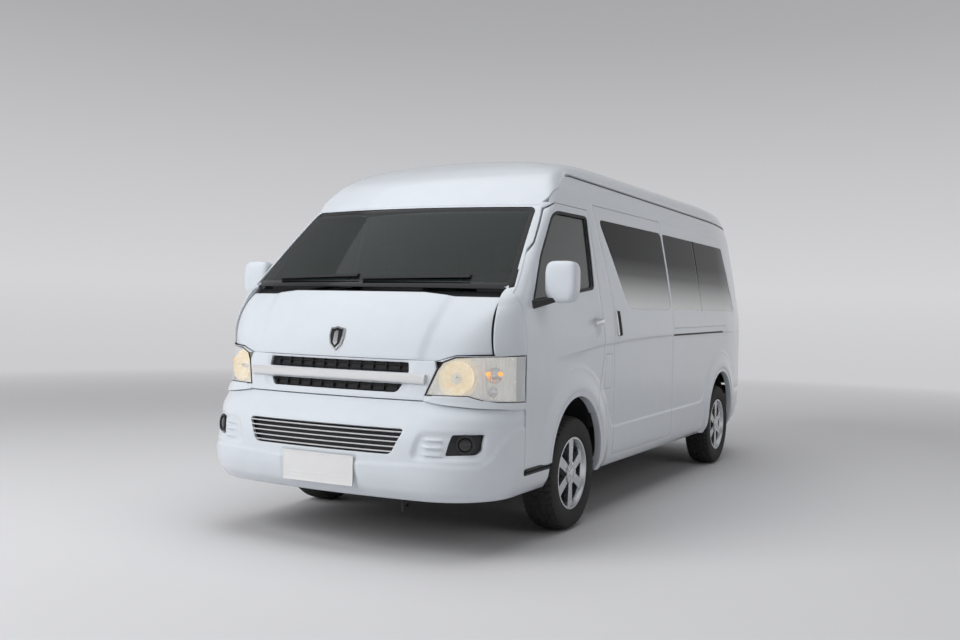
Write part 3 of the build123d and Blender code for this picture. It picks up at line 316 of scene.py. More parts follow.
# ---- the form of the body ----
@dataclass(frozen=True)
class Section:
    """Arcs of the body's outline in plan, an array for each, one value for each height."""

    side: np.ndarray
    nose_y: np.ndarray
    nose_r: np.ndarray
    nose_turn: np.ndarray
    corner_x: np.ndarray
    corner_y: np.ndarray
    corner_r: np.ndarray
    taper_x: np.ndarray
    taper_r: float
    taper_turn: np.ndarray
    rear_x: np.ndarray
    rear_y: np.ndarray
    rear_r: float
    tail_y: np.ndarray
    tail_r: float
    tail_turn: np.ndarray


@dataclass(frozen=True)
class BodyForm:
    """The van's skin, from the same tables of height and value as its solids, in millimetres.

    A point of the skin has a station and a height. The station runs round the outline in plan
    from the middle of the nose (0) over the nose arc (to 1), the front corner (to 2), the flat
    side (to 3), the taper (to 4), the rear corner (to 5) and the tail (to 6), and on down the
    other side. Below 0 it is the right side of the nose.
    """

    half: float = 0.940
    front: float = -2.690
    rear: float = 2.690
    height: float = 2.285
    taper_start: float = 1.730
    taper_r: float = 4.5
    tail_r: float = 5.0
    tail_corner: float = 0.170
    base_z: float = 1.375
    header_z: float = 1.862
    low_nose: tuple = ((300, 75), (360, 28), (440, 5), (520, 0), (600, 6), (680, 30), (800, 96),
                       (1000, 138), (1100, 156), (1200, 196), (1300, 260), (1375, 330))
    screen_nose: tuple = ((1375, 330), (1620, 606), (1862, 890))
    roof_nose: tuple = ((1862, 890), (1950, 985), (2030, 1085), (2100, 1220), (2160, 1375),
                        (2210, 1545), (2250, 1760), (2315, 2300))
    tumblehome: tuple = ((300, 45), (360, 14), (450, 2), (600, 0), (1100, 0), (1200, 6),
                         (1300, 18), (1450, 42), (1600, 68), (1750, 97), (1862, 118),
                         (1950, 138), (2100, 165), (2200, 190), (2315, 215))
    nose_radius: tuple = ((300, 4500), (800, 4500), (1000, 3800), (1200, 3000), (1375, 2200),
                          (1862, 2600), (2315, 2600))
    corner_radius: tuple = ((300, 360), (470, 400), (800, 420), (1000, 390), (1200, 270),
                            (1375, 112), (1500, 100), (1700, 98), (1862, 108), (2000, 150),
                            (2100, 200), (2315, 300))
    tail: tuple = ((300, 32), (600, 28), (1100, 30), (1300, 35), (1700, 55), (2000, 78),
                   (2100, 90), (2200, 110), (2315, 150))
    flank_x: float = 0.7212
    flank_z: float = 2.1183
    flank_slope: float = 1.8807
    lengths: tuple = (0.0, 0.70, 1.20, 5.20, 6.10, 6.32, 7.00)

    @staticmethod
    def value(table: tuple, height: np.ndarray) -> np.ndarray:
        """Monotone cubic through a table: Hermite pieces with harmonic mean slopes.

        Args:
            table: Pairs of height and value in millimetres.
            height: Heights in metres.

        Returns:
            Values in metres.
        """
        t = np.asarray(table, dtype=float) / 1000
        h = np.diff(t[:, 0])
        s = np.diff(t[:, 1]) / h
        product = s[:-1] * s[1:]
        total = np.where(product > 0, s[:-1] + s[1:], 1.0)
        middle = np.where(product > 0, 2 * product / total, 0.0)
        slope = np.concatenate(([s[0]], middle, [s[-1]]))
        z = np.clip(np.asarray(height, dtype=float), t[0, 0], t[-1, 0])
        i = np.clip(np.searchsorted(t[:, 0], z) - 1, 0, len(h) - 1)
        u = (z - t[i, 0]) / h[i]
        r = 1 - u
        return ((1 + 2 * u) * r * r * t[i, 1] + u * r * r * h[i] * slope[i]
                + u * u * (3 - 2 * u) * t[i + 1, 1] - u * u * r * h[i] * slope[i + 1])

    def nose(self, z: np.ndarray) -> np.ndarray:
        """How far back the nose is at each height, over its three tiers."""
        return np.where(z <= self.base_z, self.value(self.low_nose, z),
                        np.where(z <= self.header_z, self.value(self.screen_nose, z),
                                 self.value(self.roof_nose, z)))

    def side_x(self, z: np.ndarray) -> np.ndarray:
        """Half width of the flat side: the tumblehome, and above it the roof's leaning flank."""
        z = np.asarray(z, dtype=float)
        flank = self.flank_x + (self.flank_z - z) / self.flank_slope
        return soft_min(self.half - self.value(self.tumblehome, z), flank, 0.012)

    def section(self, z: np.ndarray) -> Section:
        """Arcs of the outline in plan at each height.

        The front corner is the circle inside both the nose arc and the side line, and the rear
        corner the circle inside both the taper arc and the tail arc.
        """
        side = self.side_x(z)
        nose_r = self.value(self.nose_radius, z)
        corner_r = self.value(self.corner_radius, z)
        corner_x = side - corner_r
        nose_y = self.front + self.nose(z) + nose_r
        corner_y = nose_y - np.sqrt((nose_r - corner_r) ** 2 - corner_x ** 2)
        tail_y = self.rear - self.value(self.tail, z) - self.tail_r
        taper_x = side - self.taper_r
        reach_a, reach_b = self.taper_r - self.tail_corner, self.tail_r - self.tail_corner
        apart = np.hypot(taper_x, self.taper_start - tail_y)
        along = (reach_b ** 2 - reach_a ** 2 + apart ** 2) / (2 * apart)
        across = np.sqrt(reach_b ** 2 - along ** 2)
        unit_x, unit_y = taper_x / apart, (self.taper_start - tail_y) / apart
        rear_x = along * unit_x + across * unit_y
        rear_y = tail_y + along * unit_y - across * unit_x
        return Section(side, nose_y, nose_r, np.arctan2(corner_x, nose_y - corner_y),
                       corner_x, corner_y, corner_r, taper_x, self.taper_r,
                       np.arctan2(rear_y - self.taper_start, rear_x - taper_x),
                       rear_x, rear_y, self.tail_corner, tail_y, self.tail_r,
                       np.arctan2(rear_y - tail_y, rear_x))

    def point(self, station: np.ndarray, z: np.ndarray) -> np.ndarray:
        """Points of the bare skin: on each arc, its centre plus its radius at the arc's angle.

        Args:
            station: Stations round the outline.
            z: Heights.

        Returns:
            Points (n, 3).
        """
        u = np.asarray(station, dtype=float)
        z = np.asarray(z, dtype=float)
        sign = np.where((u < 0) | (u > 6), -1.0, 1.0)
        u = np.where(u < 0, -u, np.where(u > 6, 12 - u, u))
        s = self.section(z)
        quarter = np.pi / 2
        a = np.where(u < 1, u * s.nose_turn, s.nose_turn + (u - 1) * (quarter - s.nose_turn))
        b = np.select([u < 4, u < 5], [(u - 3) * s.taper_turn,
                                       s.taper_turn + (u - 4) * (s.tail_turn - s.taper_turn)],
                      s.tail_turn + (u - 5) * (quarter - s.tail_turn))
        choices = [u < 1, u < 2, u < 3, u < 4, u < 5]
        x = np.select(choices, [s.nose_r * np.sin(a), s.corner_x + s.corner_r * np.sin(a),
                                s.side, s.taper_x + s.taper_r * np.cos(b),
                                s.rear_x + s.rear_r * np.cos(b)], s.tail_r * np.cos(b))
        y = np.select(choices, [s.nose_y - s.nose_r * np.cos(a),
                                s.corner_y - s.corner_r * np.cos(a),
                                s.corner_y + (u - 2) * (self.taper_start - s.corner_y),
                                self.taper_start + s.taper_r * np.sin(b),
                                s.rear_y + s.rear_r * np.sin(b)],
                      s.tail_y + s.tail_r * np.sin(b))
        return np.stack([x * sign, y, np.broadcast_to(z, x.shape)], -1)

    def normal(self, station: np.ndarray, z: np.ndarray) -> np.ndarray:
        """Outward unit normals: the cross product of the skin's two small differences."""
        low, high = np.clip(z - 0.002, 0.3, 2.3), np.clip(z + 0.002, 0.3, 2.3)
        du = self.point(station + 0.004, z) - self.point(station - 0.004, z)
        dz = self.point(station, high) - self.point(station, low)
        return unit(np.cross(du, dz))

    def station_of(self, view: View, value: np.ndarray, z: np.ndarray) -> np.ndarray:
        """Station of skin points given by their y (side) or x (front or back) and height.

        Args:
            view: The plane in which the value is given.
            value: y for the side, x for the front or back; x may be negative.
            z: Heights.

        Returns:
            Stations.
        """
        value = np.asarray(value, dtype=float)
        s = self.section(np.asarray(z, dtype=float))
        quarter = np.pi / 2
        if view is View.SIDE:
            a = np.arccos(np.clip((s.corner_y - value) / s.corner_r, -1, 1))
            front = 1 + (a - s.nose_turn) / (quarter - s.nose_turn)
            flat = 2 + (value - s.corner_y) / (self.taper_start - s.corner_y)
            b = np.arcsin(np.clip((value - self.taper_start) / s.taper_r, -1, 1))
            c = np.arcsin(np.clip((value - s.rear_y) / s.rear_r, -1, 1))
            back = 4 + (c - s.taper_turn) / (s.tail_turn - s.taper_turn)
            return np.select([value < s.corner_y, value < self.taper_start, b < s.taper_turn],
                             [front, flat, 3 + b / s.taper_turn], np.clip(back, 4, 5))
        x = np.abs(value)
        if view is View.FRONT:
            a = np.arcsin(np.clip(x / s.nose_r, -1, 1))
            c = np.arcsin(np.clip((x - s.corner_x) / s.corner_r, -1, 1))
            u = np.where(a < s.nose_turn, a / s.nose_turn,
                         1 + (c - s.nose_turn) / (quarter - s.nose_turn))
            return u * np.where(value < 0, -1, 1)
        t = np.arccos(np.clip(x / s.tail_r, -1, 1))
        c = np.arccos(np.clip((x - s.rear_x) / s.rear_r, -1, 1))
        u = np.where(t > s.tail_turn, 5 + (t - s.tail_turn) / (quarter - s.tail_turn),
                     4 + (c - s.taper_turn) / (s.tail_turn - s.taper_turn))
        return np.where(value < 0, 12 - u, u)

    def flat(self, station: np.ndarray, z: np.ndarray) -> np.ndarray:
        """Stations and heights as a flat chart about as large as the skin itself."""
        u = np.asarray(station, dtype=float)
        total = self.lengths[-1]
        core = np.interp(np.where(u < 0, -u, np.where(u > 6, 12 - u, u)), range(7), self.lengths)
        return np.stack([np.where(u < 0, -core, np.where(u > 6, 2 * total - core, core)), z], -1)

    def unflat(self, chart: np.ndarray) -> np.ndarray:
        """Stations and heights of points of the chart."""
        a = chart[:, 0]
        total = self.lengths[-1]
        core = np.where(a < 0, -a, np.where(a > total, 2 * total - a, a))
        u = np.interp(core, self.lengths, range(7))
        return np.stack([np.where(a < 0, -u, np.where(a > total, 12 - u, u)), chart[:, 1]], -1)

    def chart(self, view: View, points: np.ndarray) -> np.ndarray:
        """Chart positions of points drawn in one view: y from the front axle, or x, and z."""
        p = np.asarray(points, dtype=float)
        value = p[:, 0] + (AXLE_Y if view is View.SIDE else 0.0)
        return self.flat(self.station_of(view, value, p[:, 1]), p[:, 1])

    def skin(self, view: View, value: np.ndarray, z: np.ndarray) -> tuple:
        """Points and normals of the skin, drawn in one view as a chart's points are."""
        station = self.station_of(view, value + (AXLE_Y if view is View.SIDE else 0.0), z)
        return self.point(station, z), self.normal(station, z)

    def of_chart(self, chart: np.ndarray) -> tuple:
        """Points and normals of the skin at points of the chart."""
        station, z = self.unflat(chart).T
        return self.point(station, z), self.normal(station, z)


FORM = BodyForm()


def drawn(view: View, points: list, step: float, closed: bool = True) -> np.ndarray:
    """Line on the chart through points drawn in one view, made dense before it is put there."""
    return FORM.chart(view, dense(points, step, closed))


def trace(parts: list, step: float = 0.014) -> np.ndarray:
    """Closed outline on the chart from runs of points drawn in different views.

    Each run is a view and its points, made dense before they are put on the chart; between
    runs the outline goes straight on the chart.

    Args:
        parts: Pairs of view and points.
        step: Largest spacing.

    Returns:
        The outline on the chart.
    """
    runs = [drawn(view, points, step, closed=False) for view, points in parts]
    return dense(np.vstack(runs), step * 1.6)


def beside_screen(line: np.ndarray, width: float) -> np.ndarray:
    """Chart outline kept at least a width outside the screen's edge, along its height."""
    spots = FORM.chart(View.FRONT, SCREEN_EDGE)
    foot, far_off = 1.338, -9.0
    edge = np.interp(line[:, 1], [foot, *spots[:, 1]], [spots[0, 0] - 0.02, *spots[:, 0]])
    edge = np.where(line[:, 1] > foot, edge + width, far_off)
    return np.stack([np.maximum(line[:, 0], edge), line[:, 1]], 1)


def rim_rows(points: np.ndarray, normals: np.ndarray, tris: np.ndarray,
             steps: list) -> tuple:
    """Rows of new points along a surface's open edges, for its rounded edge and its depth.

    An open edge is one that has no twin running the other way. Along each, the sideways
    direction is the edge's direction crossed with the surface's normal, averaged at its ends.

    Args:
        points: The surface's points.
        normals: Their unit normals.
        tris: Its triangles, facing outwards.
        steps: Pairs of sideways distance and depth, one for each row.

    Returns:
        The open edges as pairs of point numbers, the edge's point numbers, and the rows.
    """
    edges = np.vstack([tris[:, [0, 1]], tris[:, [1, 2]], tris[:, [2, 0]]]).astype(np.int64)
    size = len(points)
    forward = edges[:, 0] * size + edges[:, 1]
    backward = edges[:, 1] * size + edges[:, 0]
    open_edges = edges[~np.isin(forward, backward)]
    ring = np.unique(open_edges)
    out = np.zeros_like(points)
    along = unit(points[open_edges[:, 1]] - points[open_edges[:, 0]])
    for k in (0, 1):
        np.add.at(out, open_edges[:, k], np.cross(along, normals[open_edges[:, k]]))
    out = unit(out)
    rows = [points[ring] + out[ring] * side - normals[ring] * depth for side, depth in steps]
    return open_edges, ring, rows


def shell(points: np.ndarray, normals: np.ndarray, tris: np.ndarray, thickness: float,
          edge: float = 0.0015) -> Shape:
    """Closed panel: an outer skin, rounded edges of some depth, and an inner skin, number 1.

    Args:
        points: Outer points.
        normals: Outer normals.
        tris: Triangles facing outwards.
        thickness: Depth of the panel.
        edge: Size of the rounded edge.

    Returns:
        The panel.
    """
    steps = [(edge * 0.7, edge * 0.3), (edge, edge), (edge, thickness * 0.5),
             (edge, thickness - 0.0005)]
    open_edges, ring, rows = rim_rows(points, normals, tris, steps)
    number = np.full(len(points), -1)
    number[ring] = np.arange(len(ring))
    base = len(points)
    start = base + len(rows) * len(ring)
    rings = [number[open_edges] + base + k * len(ring) for k in range(len(rows))]
    levels = [open_edges, *rings, open_edges + start]
    walls = [np.stack([upper[:, 1], upper[:, 0], lower[:, 0], lower[:, 1]], 1)
             for upper, lower in zip(levels, levels[1:])]
    inner = (tris + start)[:, ::-1].tolist()
    faces = tris.tolist() + np.vstack(walls).tolist() + inner
    mats = [0] * (len(faces) - len(inner)) + [1] * len(inner)
    return Shape(np.vstack([points, *rows, points - normals * thickness]), faces, mats)


def triangulate(outline: np.ndarray, holes: Sequence, lattice: np.ndarray,
                margin: float = 0.006) -> tuple:
    """Triangles filling an outline with holes, through its own points and a lattice.

    Args:
        outline: Closed outline (n, 2).
        holes: Closed outlines cut out of it.
        lattice: Points to use inside (m, 2).
        margin: Lattice points nearer to a line than this are dropped.

    Returns:
        The points (k, 2) and the triangles (t, 3), turned anticlockwise.
    """
    loops = [outline, *holes]

    def within(points: np.ndarray) -> np.ndarray:
        """Which points lie inside the outline and outside every hole."""
        result = inside(points, outline)
        for hole in holes:
            result &= ~inside(points, hole)
        return result

    inner = lattice[within(lattice)]
    line = np.vstack([dense(loop, margin * 0.8) for loop in loops])
    near = np.zeros(len(inner), dtype=bool)
    for start in range(0, len(inner), 1000):
        gap = inner[start:start + 1000, None, :] - line[None, :, :]
        near[start:start + 1000] = np.min(np.sum(gap * gap, -1), axis=1) < margin ** 2
    inner = inner[~near]
    edges, base = [], 0
    for loop in loops:
        n = len(loop)
        edges += [(base + i, base + (i + 1) % n) for i in range(n)]
        base += n
    points = np.vstack(loops + [inner])
    result = delaunay_2d_cdt(points.tolist(), edges, [], 0, 1e-6)
    flat = np.array([tuple(v) for v in result[0]])
    tris = np.array([f for f in result[2] if len(f) == 3])
    tris = tris[within(flat[tris].mean(axis=1))]
    a, b, c = flat[tris[:, 0]], flat[tris[:, 1]], flat[tris[:, 2]]
    area = (b[:, 0] - a[:, 0]) * (c[:, 1] - a[:, 1]) - (b[:, 1] - a[:, 1]) * (c[:, 0] - a[:, 0])
    tris[area < 0] = tris[area < 0][:, ::-1]
    tris = tris[np.abs(area) > 1e-10]
    used = np.unique(tris)
    index = np.full(len(flat), -1)
    index[used] = np.arange(len(used))
    return flat[used], index[tris]


def no_relief(points: np.ndarray) -> np.ndarray:
    """A skin with no pressing."""
    return np.zeros(len(points))


def even(amount: float) -> Relief:
    """A relief that lifts the whole skin by an amount."""
    return lambda bare: np.full(len(bare), amount)


def skin_panel(outline: np.ndarray, lattice: np.ndarray, thickness: float, sink: float = 0.0,
               holes: Sequence = (), relief: Relief = no_relief, edge: float = 0.0015) -> Shape:
    """Panel of the body's skin inside an outline, pressed by a relief along the normal.

    Args:
        outline: Outline on the chart.
        lattice: Chart points for its inside.
        thickness: Depth of the panel.
        sink: How far the whole panel lies under the skin.
        holes: Openings on the chart.
        relief: How far the skin stands out at given points.
        edge: Size of the rounded edge.

    Returns:
        The panel.
    """
    chart, tris = triangulate(outline, holes, lattice)
    bare, normal = FORM.of_chart(chart)
    points = bare + normal * (relief(bare) - sink)[:, None]
    return shell(points, normal, tris, thickness, edge)


# ---- finishes ----
class Tree:
    """A material's node tree, with short ways to add nodes and links."""

    def __init__(self, name: str) -> None:
        """Start a material with a Principled shader."""
        self.material = bpy.data.materials.new(name)
        self.material.use_nodes = True
        self.graph = self.material.node_tree
        self.shader = self.graph.nodes["Principled BSDF"]
        self.coords = self.add("TexCoord").outputs["Object"]

    @staticmethod
    def fill(node: bpy.types.Node, **values: object) -> None:
        """Set a node's inputs; underscores stand for spaces."""
        for key, value in values.items():
            node.inputs[key.replace("_", " ")].default_value = value

    def put(self, **values: object) -> None:
        """Set the shader's own inputs."""
        self.fill(self.shader, **values)

    def add(self, kind: str, **values: object) -> bpy.types.Node:
        """Add a shader node of some kind and set its inputs."""
        node = self.graph.nodes.new(f"ShaderNode{kind}")
        self.fill(node, **values)
        return node

    def link(self, output: Socket, target: Socket) -> None:
        """Link an output to an input."""
        self.graph.links.new(output, target)

    def feed(self, output: Socket, name: str) -> None:
        """Link an output to one of the shader's inputs."""
        self.link(output, self.shader.inputs[name])

    def noise(self, scale: float, detail: float = 4.0, stretch: tuple = (1, 1, 1)) -> Socket:
        """Noise on Object coordinates, with a stretch along each axis."""
        mapping = self.add("Mapping", Scale=stretch)
        texture = self.add("TexNoise", Scale=scale, Detail=detail)
        self.link(self.coords, mapping.inputs["Vector"])
        self.link(mapping.outputs["Vector"], texture.inputs["Vector"])
        return texture.outputs["Fac"]

    def height(self) -> Socket:
        """Height of a point, from its Object coordinates."""
        node = self.add("SeparateXYZ")
        self.link(self.coords, node.inputs[0])
        return node.outputs["Z"]

    def ramp(self, value: Socket, stops: Sequence) -> Socket:
        """Colours picked by a value: stops of (position, colour)."""
        node = self.add("ValToRGB")
        elements = node.color_ramp.elements
        while len(elements) < len(stops):
            elements.new(0.5)
        for element, (position, colour) in zip(elements, stops):
            element.position = position
            element.color = (*colour, 1.0)
        self.link(value, node.inputs["Fac"])
        return node.outputs["Color"]

    def span(self, value: Socket, low: float, high: float, to_low: float,
             to_high: float) -> Socket:
        """A value mapped from one range to another."""
        node = self.add("MapRange", From_Min=low, From_Max=high, To_Min=to_low, To_Max=to_high)
        self.link(value, node.inputs["Value"])
        return node.outputs["Result"]

    def bump(self, height: Socket, strength: float, distance: float) -> None:
        """Bump from a height, in metres."""
        node = self.add("Bump", Strength=strength, Distance=distance)
        self.link(height, node.inputs["Height"])
        self.feed(node.outputs["Normal"], "Normal")


@dataclass(frozen=True)
class Finish:
    """A surface with a grain: two near colours mixed by noise, roughness and bump from it."""

    name: str
    colour: tuple
    second: tuple
    roughness: float = 0.5
    spread: float = 0.08
    metallic: float = 0.0
    scale: float = 60.0
    stretch: tuple = (1.0, 1.0, 1.0)
    strength: float = 0.2
    distance: float = 0.0005
    coat: float = 0.0
    coat_roughness: float = 0.03
    sheen: float = 0.0
    specular: float = 0.5
    # glow makes the surface give off light of its second colour; on parts that are no lamp it is
    # painted light
    glow: float = 0.0

    def build(self) -> bpy.types.Material:
        """Make the material."""
        tree = Tree(self.name)
        tree.put(Metallic=self.metallic, Coat_Weight=self.coat, Sheen_Weight=self.sheen,
                 Coat_Roughness=self.coat_roughness, Specular_IOR_Level=self.specular,
                 Emission_Color=(*self.second, 1.0), Emission_Strength=self.glow)
        fac = tree.noise(self.scale, 5.0, self.stretch)
        tree.feed(tree.ramp(fac, [(0.3, self.colour), (0.7, self.second)]), "Base Color")
        tree.feed(tree.span(fac, 0.3, 0.7, self.roughness - self.spread,
                            self.roughness + self.spread), "Roughness")
        fine = tree.noise(self.scale * 6, 3.0, self.stretch)
        tree.bump(fine, self.strength, self.distance)
        return tree.material


@dataclass(frozen=True)
class ClearGlass:
    """Tinted glass that shows what is behind it, faintly wavy."""

    name: str
    colour: tuple
    alpha: float
    roughness: float = 0.02

    def build(self) -> bpy.types.Material:
        """Make the material."""
        tree = Tree(self.name)
        tree.put(Base_Color=(*self.colour, 1.0), Alpha=self.alpha, Roughness=self.roughness,
                 IOR=1.5, Specular_IOR_Level=0.6, Coat_Weight=0.4, Coat_Roughness=0.02)
        tree.bump(tree.noise(3.0, 1.0), 0.03, 0.002)
        return tree.material


@dataclass(frozen=True)
class PaintedReflectionGlass:
    """Dark tinted glass with a painted reflection: pale low down, graded over the height to
    nearly black at its top.
    """

    name: str
    low: float
    high: float
    # pale is the painted reflection of the floor low on the glass; dark is the glass's tint,
    # nearly black at its top
    pale: tuple
    dark: tuple
    alpha: float = 0.97

    def build(self) -> bpy.types.Material:
        """Make the material: the painted reflection goes with Object z from low to high."""
        tree = Tree(self.name)
        fac = tree.span(tree.height(), self.low, self.high, 0.0, 1.0)
        # The ramp paints the reflection: pale below, fading into the dark tint above.
        mid = tuple(0.14 * p + 0.86 * d for p, d in zip(self.pale, self.dark))
        tree.feed(tree.ramp(fac, [(0.06, self.pale), (0.24, tuple(0.66 * p for p in self.pale)),
                                  (0.46, mid), (0.64, self.dark)]), "Base Color")
        tree.put(Alpha=self.alpha, Roughness=0.12, Specular_IOR_Level=0.10)
        tree.bump(tree.noise(2.5, 1.0), 0.03, 0.002)
        return tree.material


@dataclass(frozen=True)
class Finishes:
    """The recipe of every material of the van, and once made, the material itself."""

    paint: Finish = Finish("white_paint_coat", (0.68, 0.725, 0.775), (0.70, 0.745, 0.795), 0.32,
                           0.03, 0.0, 9.0, strength=0.02, distance=0.0002, coat=1.0,
                           coat_roughness=0.04)
    trim: Finish = Finish("door_trim", (0.23, 0.23, 0.235), (0.27, 0.27, 0.27), 0.6, 0.08,
                          scale=90, strength=0.5)
    headliner: Finish = Finish("headliner", (0.50, 0.49, 0.47), (0.55, 0.54, 0.52), 0.9, 0.05,
                               scale=120, strength=0.5, sheen=0.3)
    # Side and tailgate glass: dark tint with a painted reflection, pale low down.
    film: PaintedReflectionGlass = PaintedReflectionGlass("window_film", 1.24, 1.84, (0.96, 0.97, 0.96),
                                    (0.004, 0.005, 0.005))
    screen: ClearGlass = ClearGlass("screen_glass", (0.022, 0.030, 0.027), 0.62)
    door_glass: ClearGlass = ClearGlass("door_glass_tint", (0.055, 0.062, 0.058), 0.82)
    frit: Finish = Finish("glass_border", (0.006, 0.006, 0.007), (0.009, 0.009, 0.01), 0.12,
                          0.04, strength=0.02, coat=0.6)
    rubber: Finish = Finish("seal_rubber", (0.012, 0.012, 0.013), (0.02, 0.02, 0.021), 0.55,
                            0.1, scale=80, strength=0.3)
    black: Finish = Finish("black_moulding", (0.016, 0.016, 0.018), (0.026, 0.026, 0.028), 0.42,
                           0.1, scale=120, strength=0.35)
    chrome: Finish = Finish("bright_chrome", (0.78, 0.79, 0.80), (0.84, 0.85, 0.86), 0.08,
                            0.03, 1.0, 14, strength=0.02)
    satin: Finish = Finish("satin_bar", (0.80, 0.80, 0.81), (0.82, 0.82, 0.83), 0.30, 0.01,
                           0.45, 8, strength=0.0)
    lens: ClearGlass = ClearGlass("lamp_cover", (0.85, 0.87, 0.88), 0.12, 0.01)
    # The lamp bed glows faintly: painted light, as it is no lamp.
    bowl: Finish = Finish("lamp_bowl_painted_glow", (0.80, 0.79, 0.75), (0.95, 0.94, 0.90), 0.20, 0.08,
                          0.45, 35, strength=0.6, distance=0.002, glow=0.12)
    amber: Finish = Finish("amber_bulb", (0.85, 0.26, 0.02), (0.95, 0.36, 0.04), 0.15, 0.05,
                           scale=60, strength=0.2, coat=0.8, glow=1.2)
    red: Finish = Finish("red_lamp", (0.30, 0.008, 0.008), (0.42, 0.012, 0.010), 0.12, 0.05,
                         scale=40, stretch=(1, 1, 6), strength=0.3, coat=0.8)
    tyre: Finish = Finish("tyre_compound", (0.016, 0.016, 0.017), (0.030, 0.029, 0.028), 0.78,
                          0.08, scale=40, strength=0.35)
    alloy: Finish = Finish("machined_alloy", (0.62, 0.63, 0.65), (0.72, 0.73, 0.75), 0.22,
                           0.06, 0.95, 30, strength=0.06)
    steel: Finish = Finish("black_frame_steel", (0.022, 0.022, 0.024), (0.045, 0.042, 0.040),
                           0.6, 0.12, 0.3, 25, strength=0.4)
    iron: Finish = Finish("grey_casting", (0.12, 0.12, 0.125), (0.19, 0.185, 0.18), 0.6, 0.12,
                          0.5, 45, strength=0.6)
    bare: Finish = Finish("bright_steel", (0.42, 0.42, 0.42), (0.52, 0.52, 0.51), 0.38, 0.1,
                          1.0, 50, strength=0.2)
    fabric: Finish = Finish("seat_cloth", (0.20, 0.205, 0.215), (0.27, 0.275, 0.285), 0.88,
                            0.06, scale=160, strength=0.8, distance=0.0008, sheen=0.5)
    carpet: Finish = Finish("floor_carpet", (0.07, 0.07, 0.072), (0.11, 0.108, 0.105), 0.95,
                            0.04, scale=180, strength=0.9, distance=0.001, sheen=0.3)
    plate: Finish = Finish("blank_plate", (0.78, 0.78, 0.78), (0.80, 0.80, 0.80), 0.35, 0.01,
                           0.10, 8, strength=0.0)
    # The reflector glows with its pale second colour: painted light standing in for its bright
    # reflection, as it is no lamp.
    reflector_painted_glow: Finish = Finish("warm_reflector_painted_glow", (0.80, 0.58, 0.28), (0.98, 0.90, 0.72), 0.12, 0.05,
                          0.7, 30, strength=1.0, distance=0.006, glow=0.30)

    def made(self) -> "Finishes":
        """The same set, with every recipe built."""
        return replace(self, **{part.name: getattr(self, part.name).build()
                                for part in fields(self)})


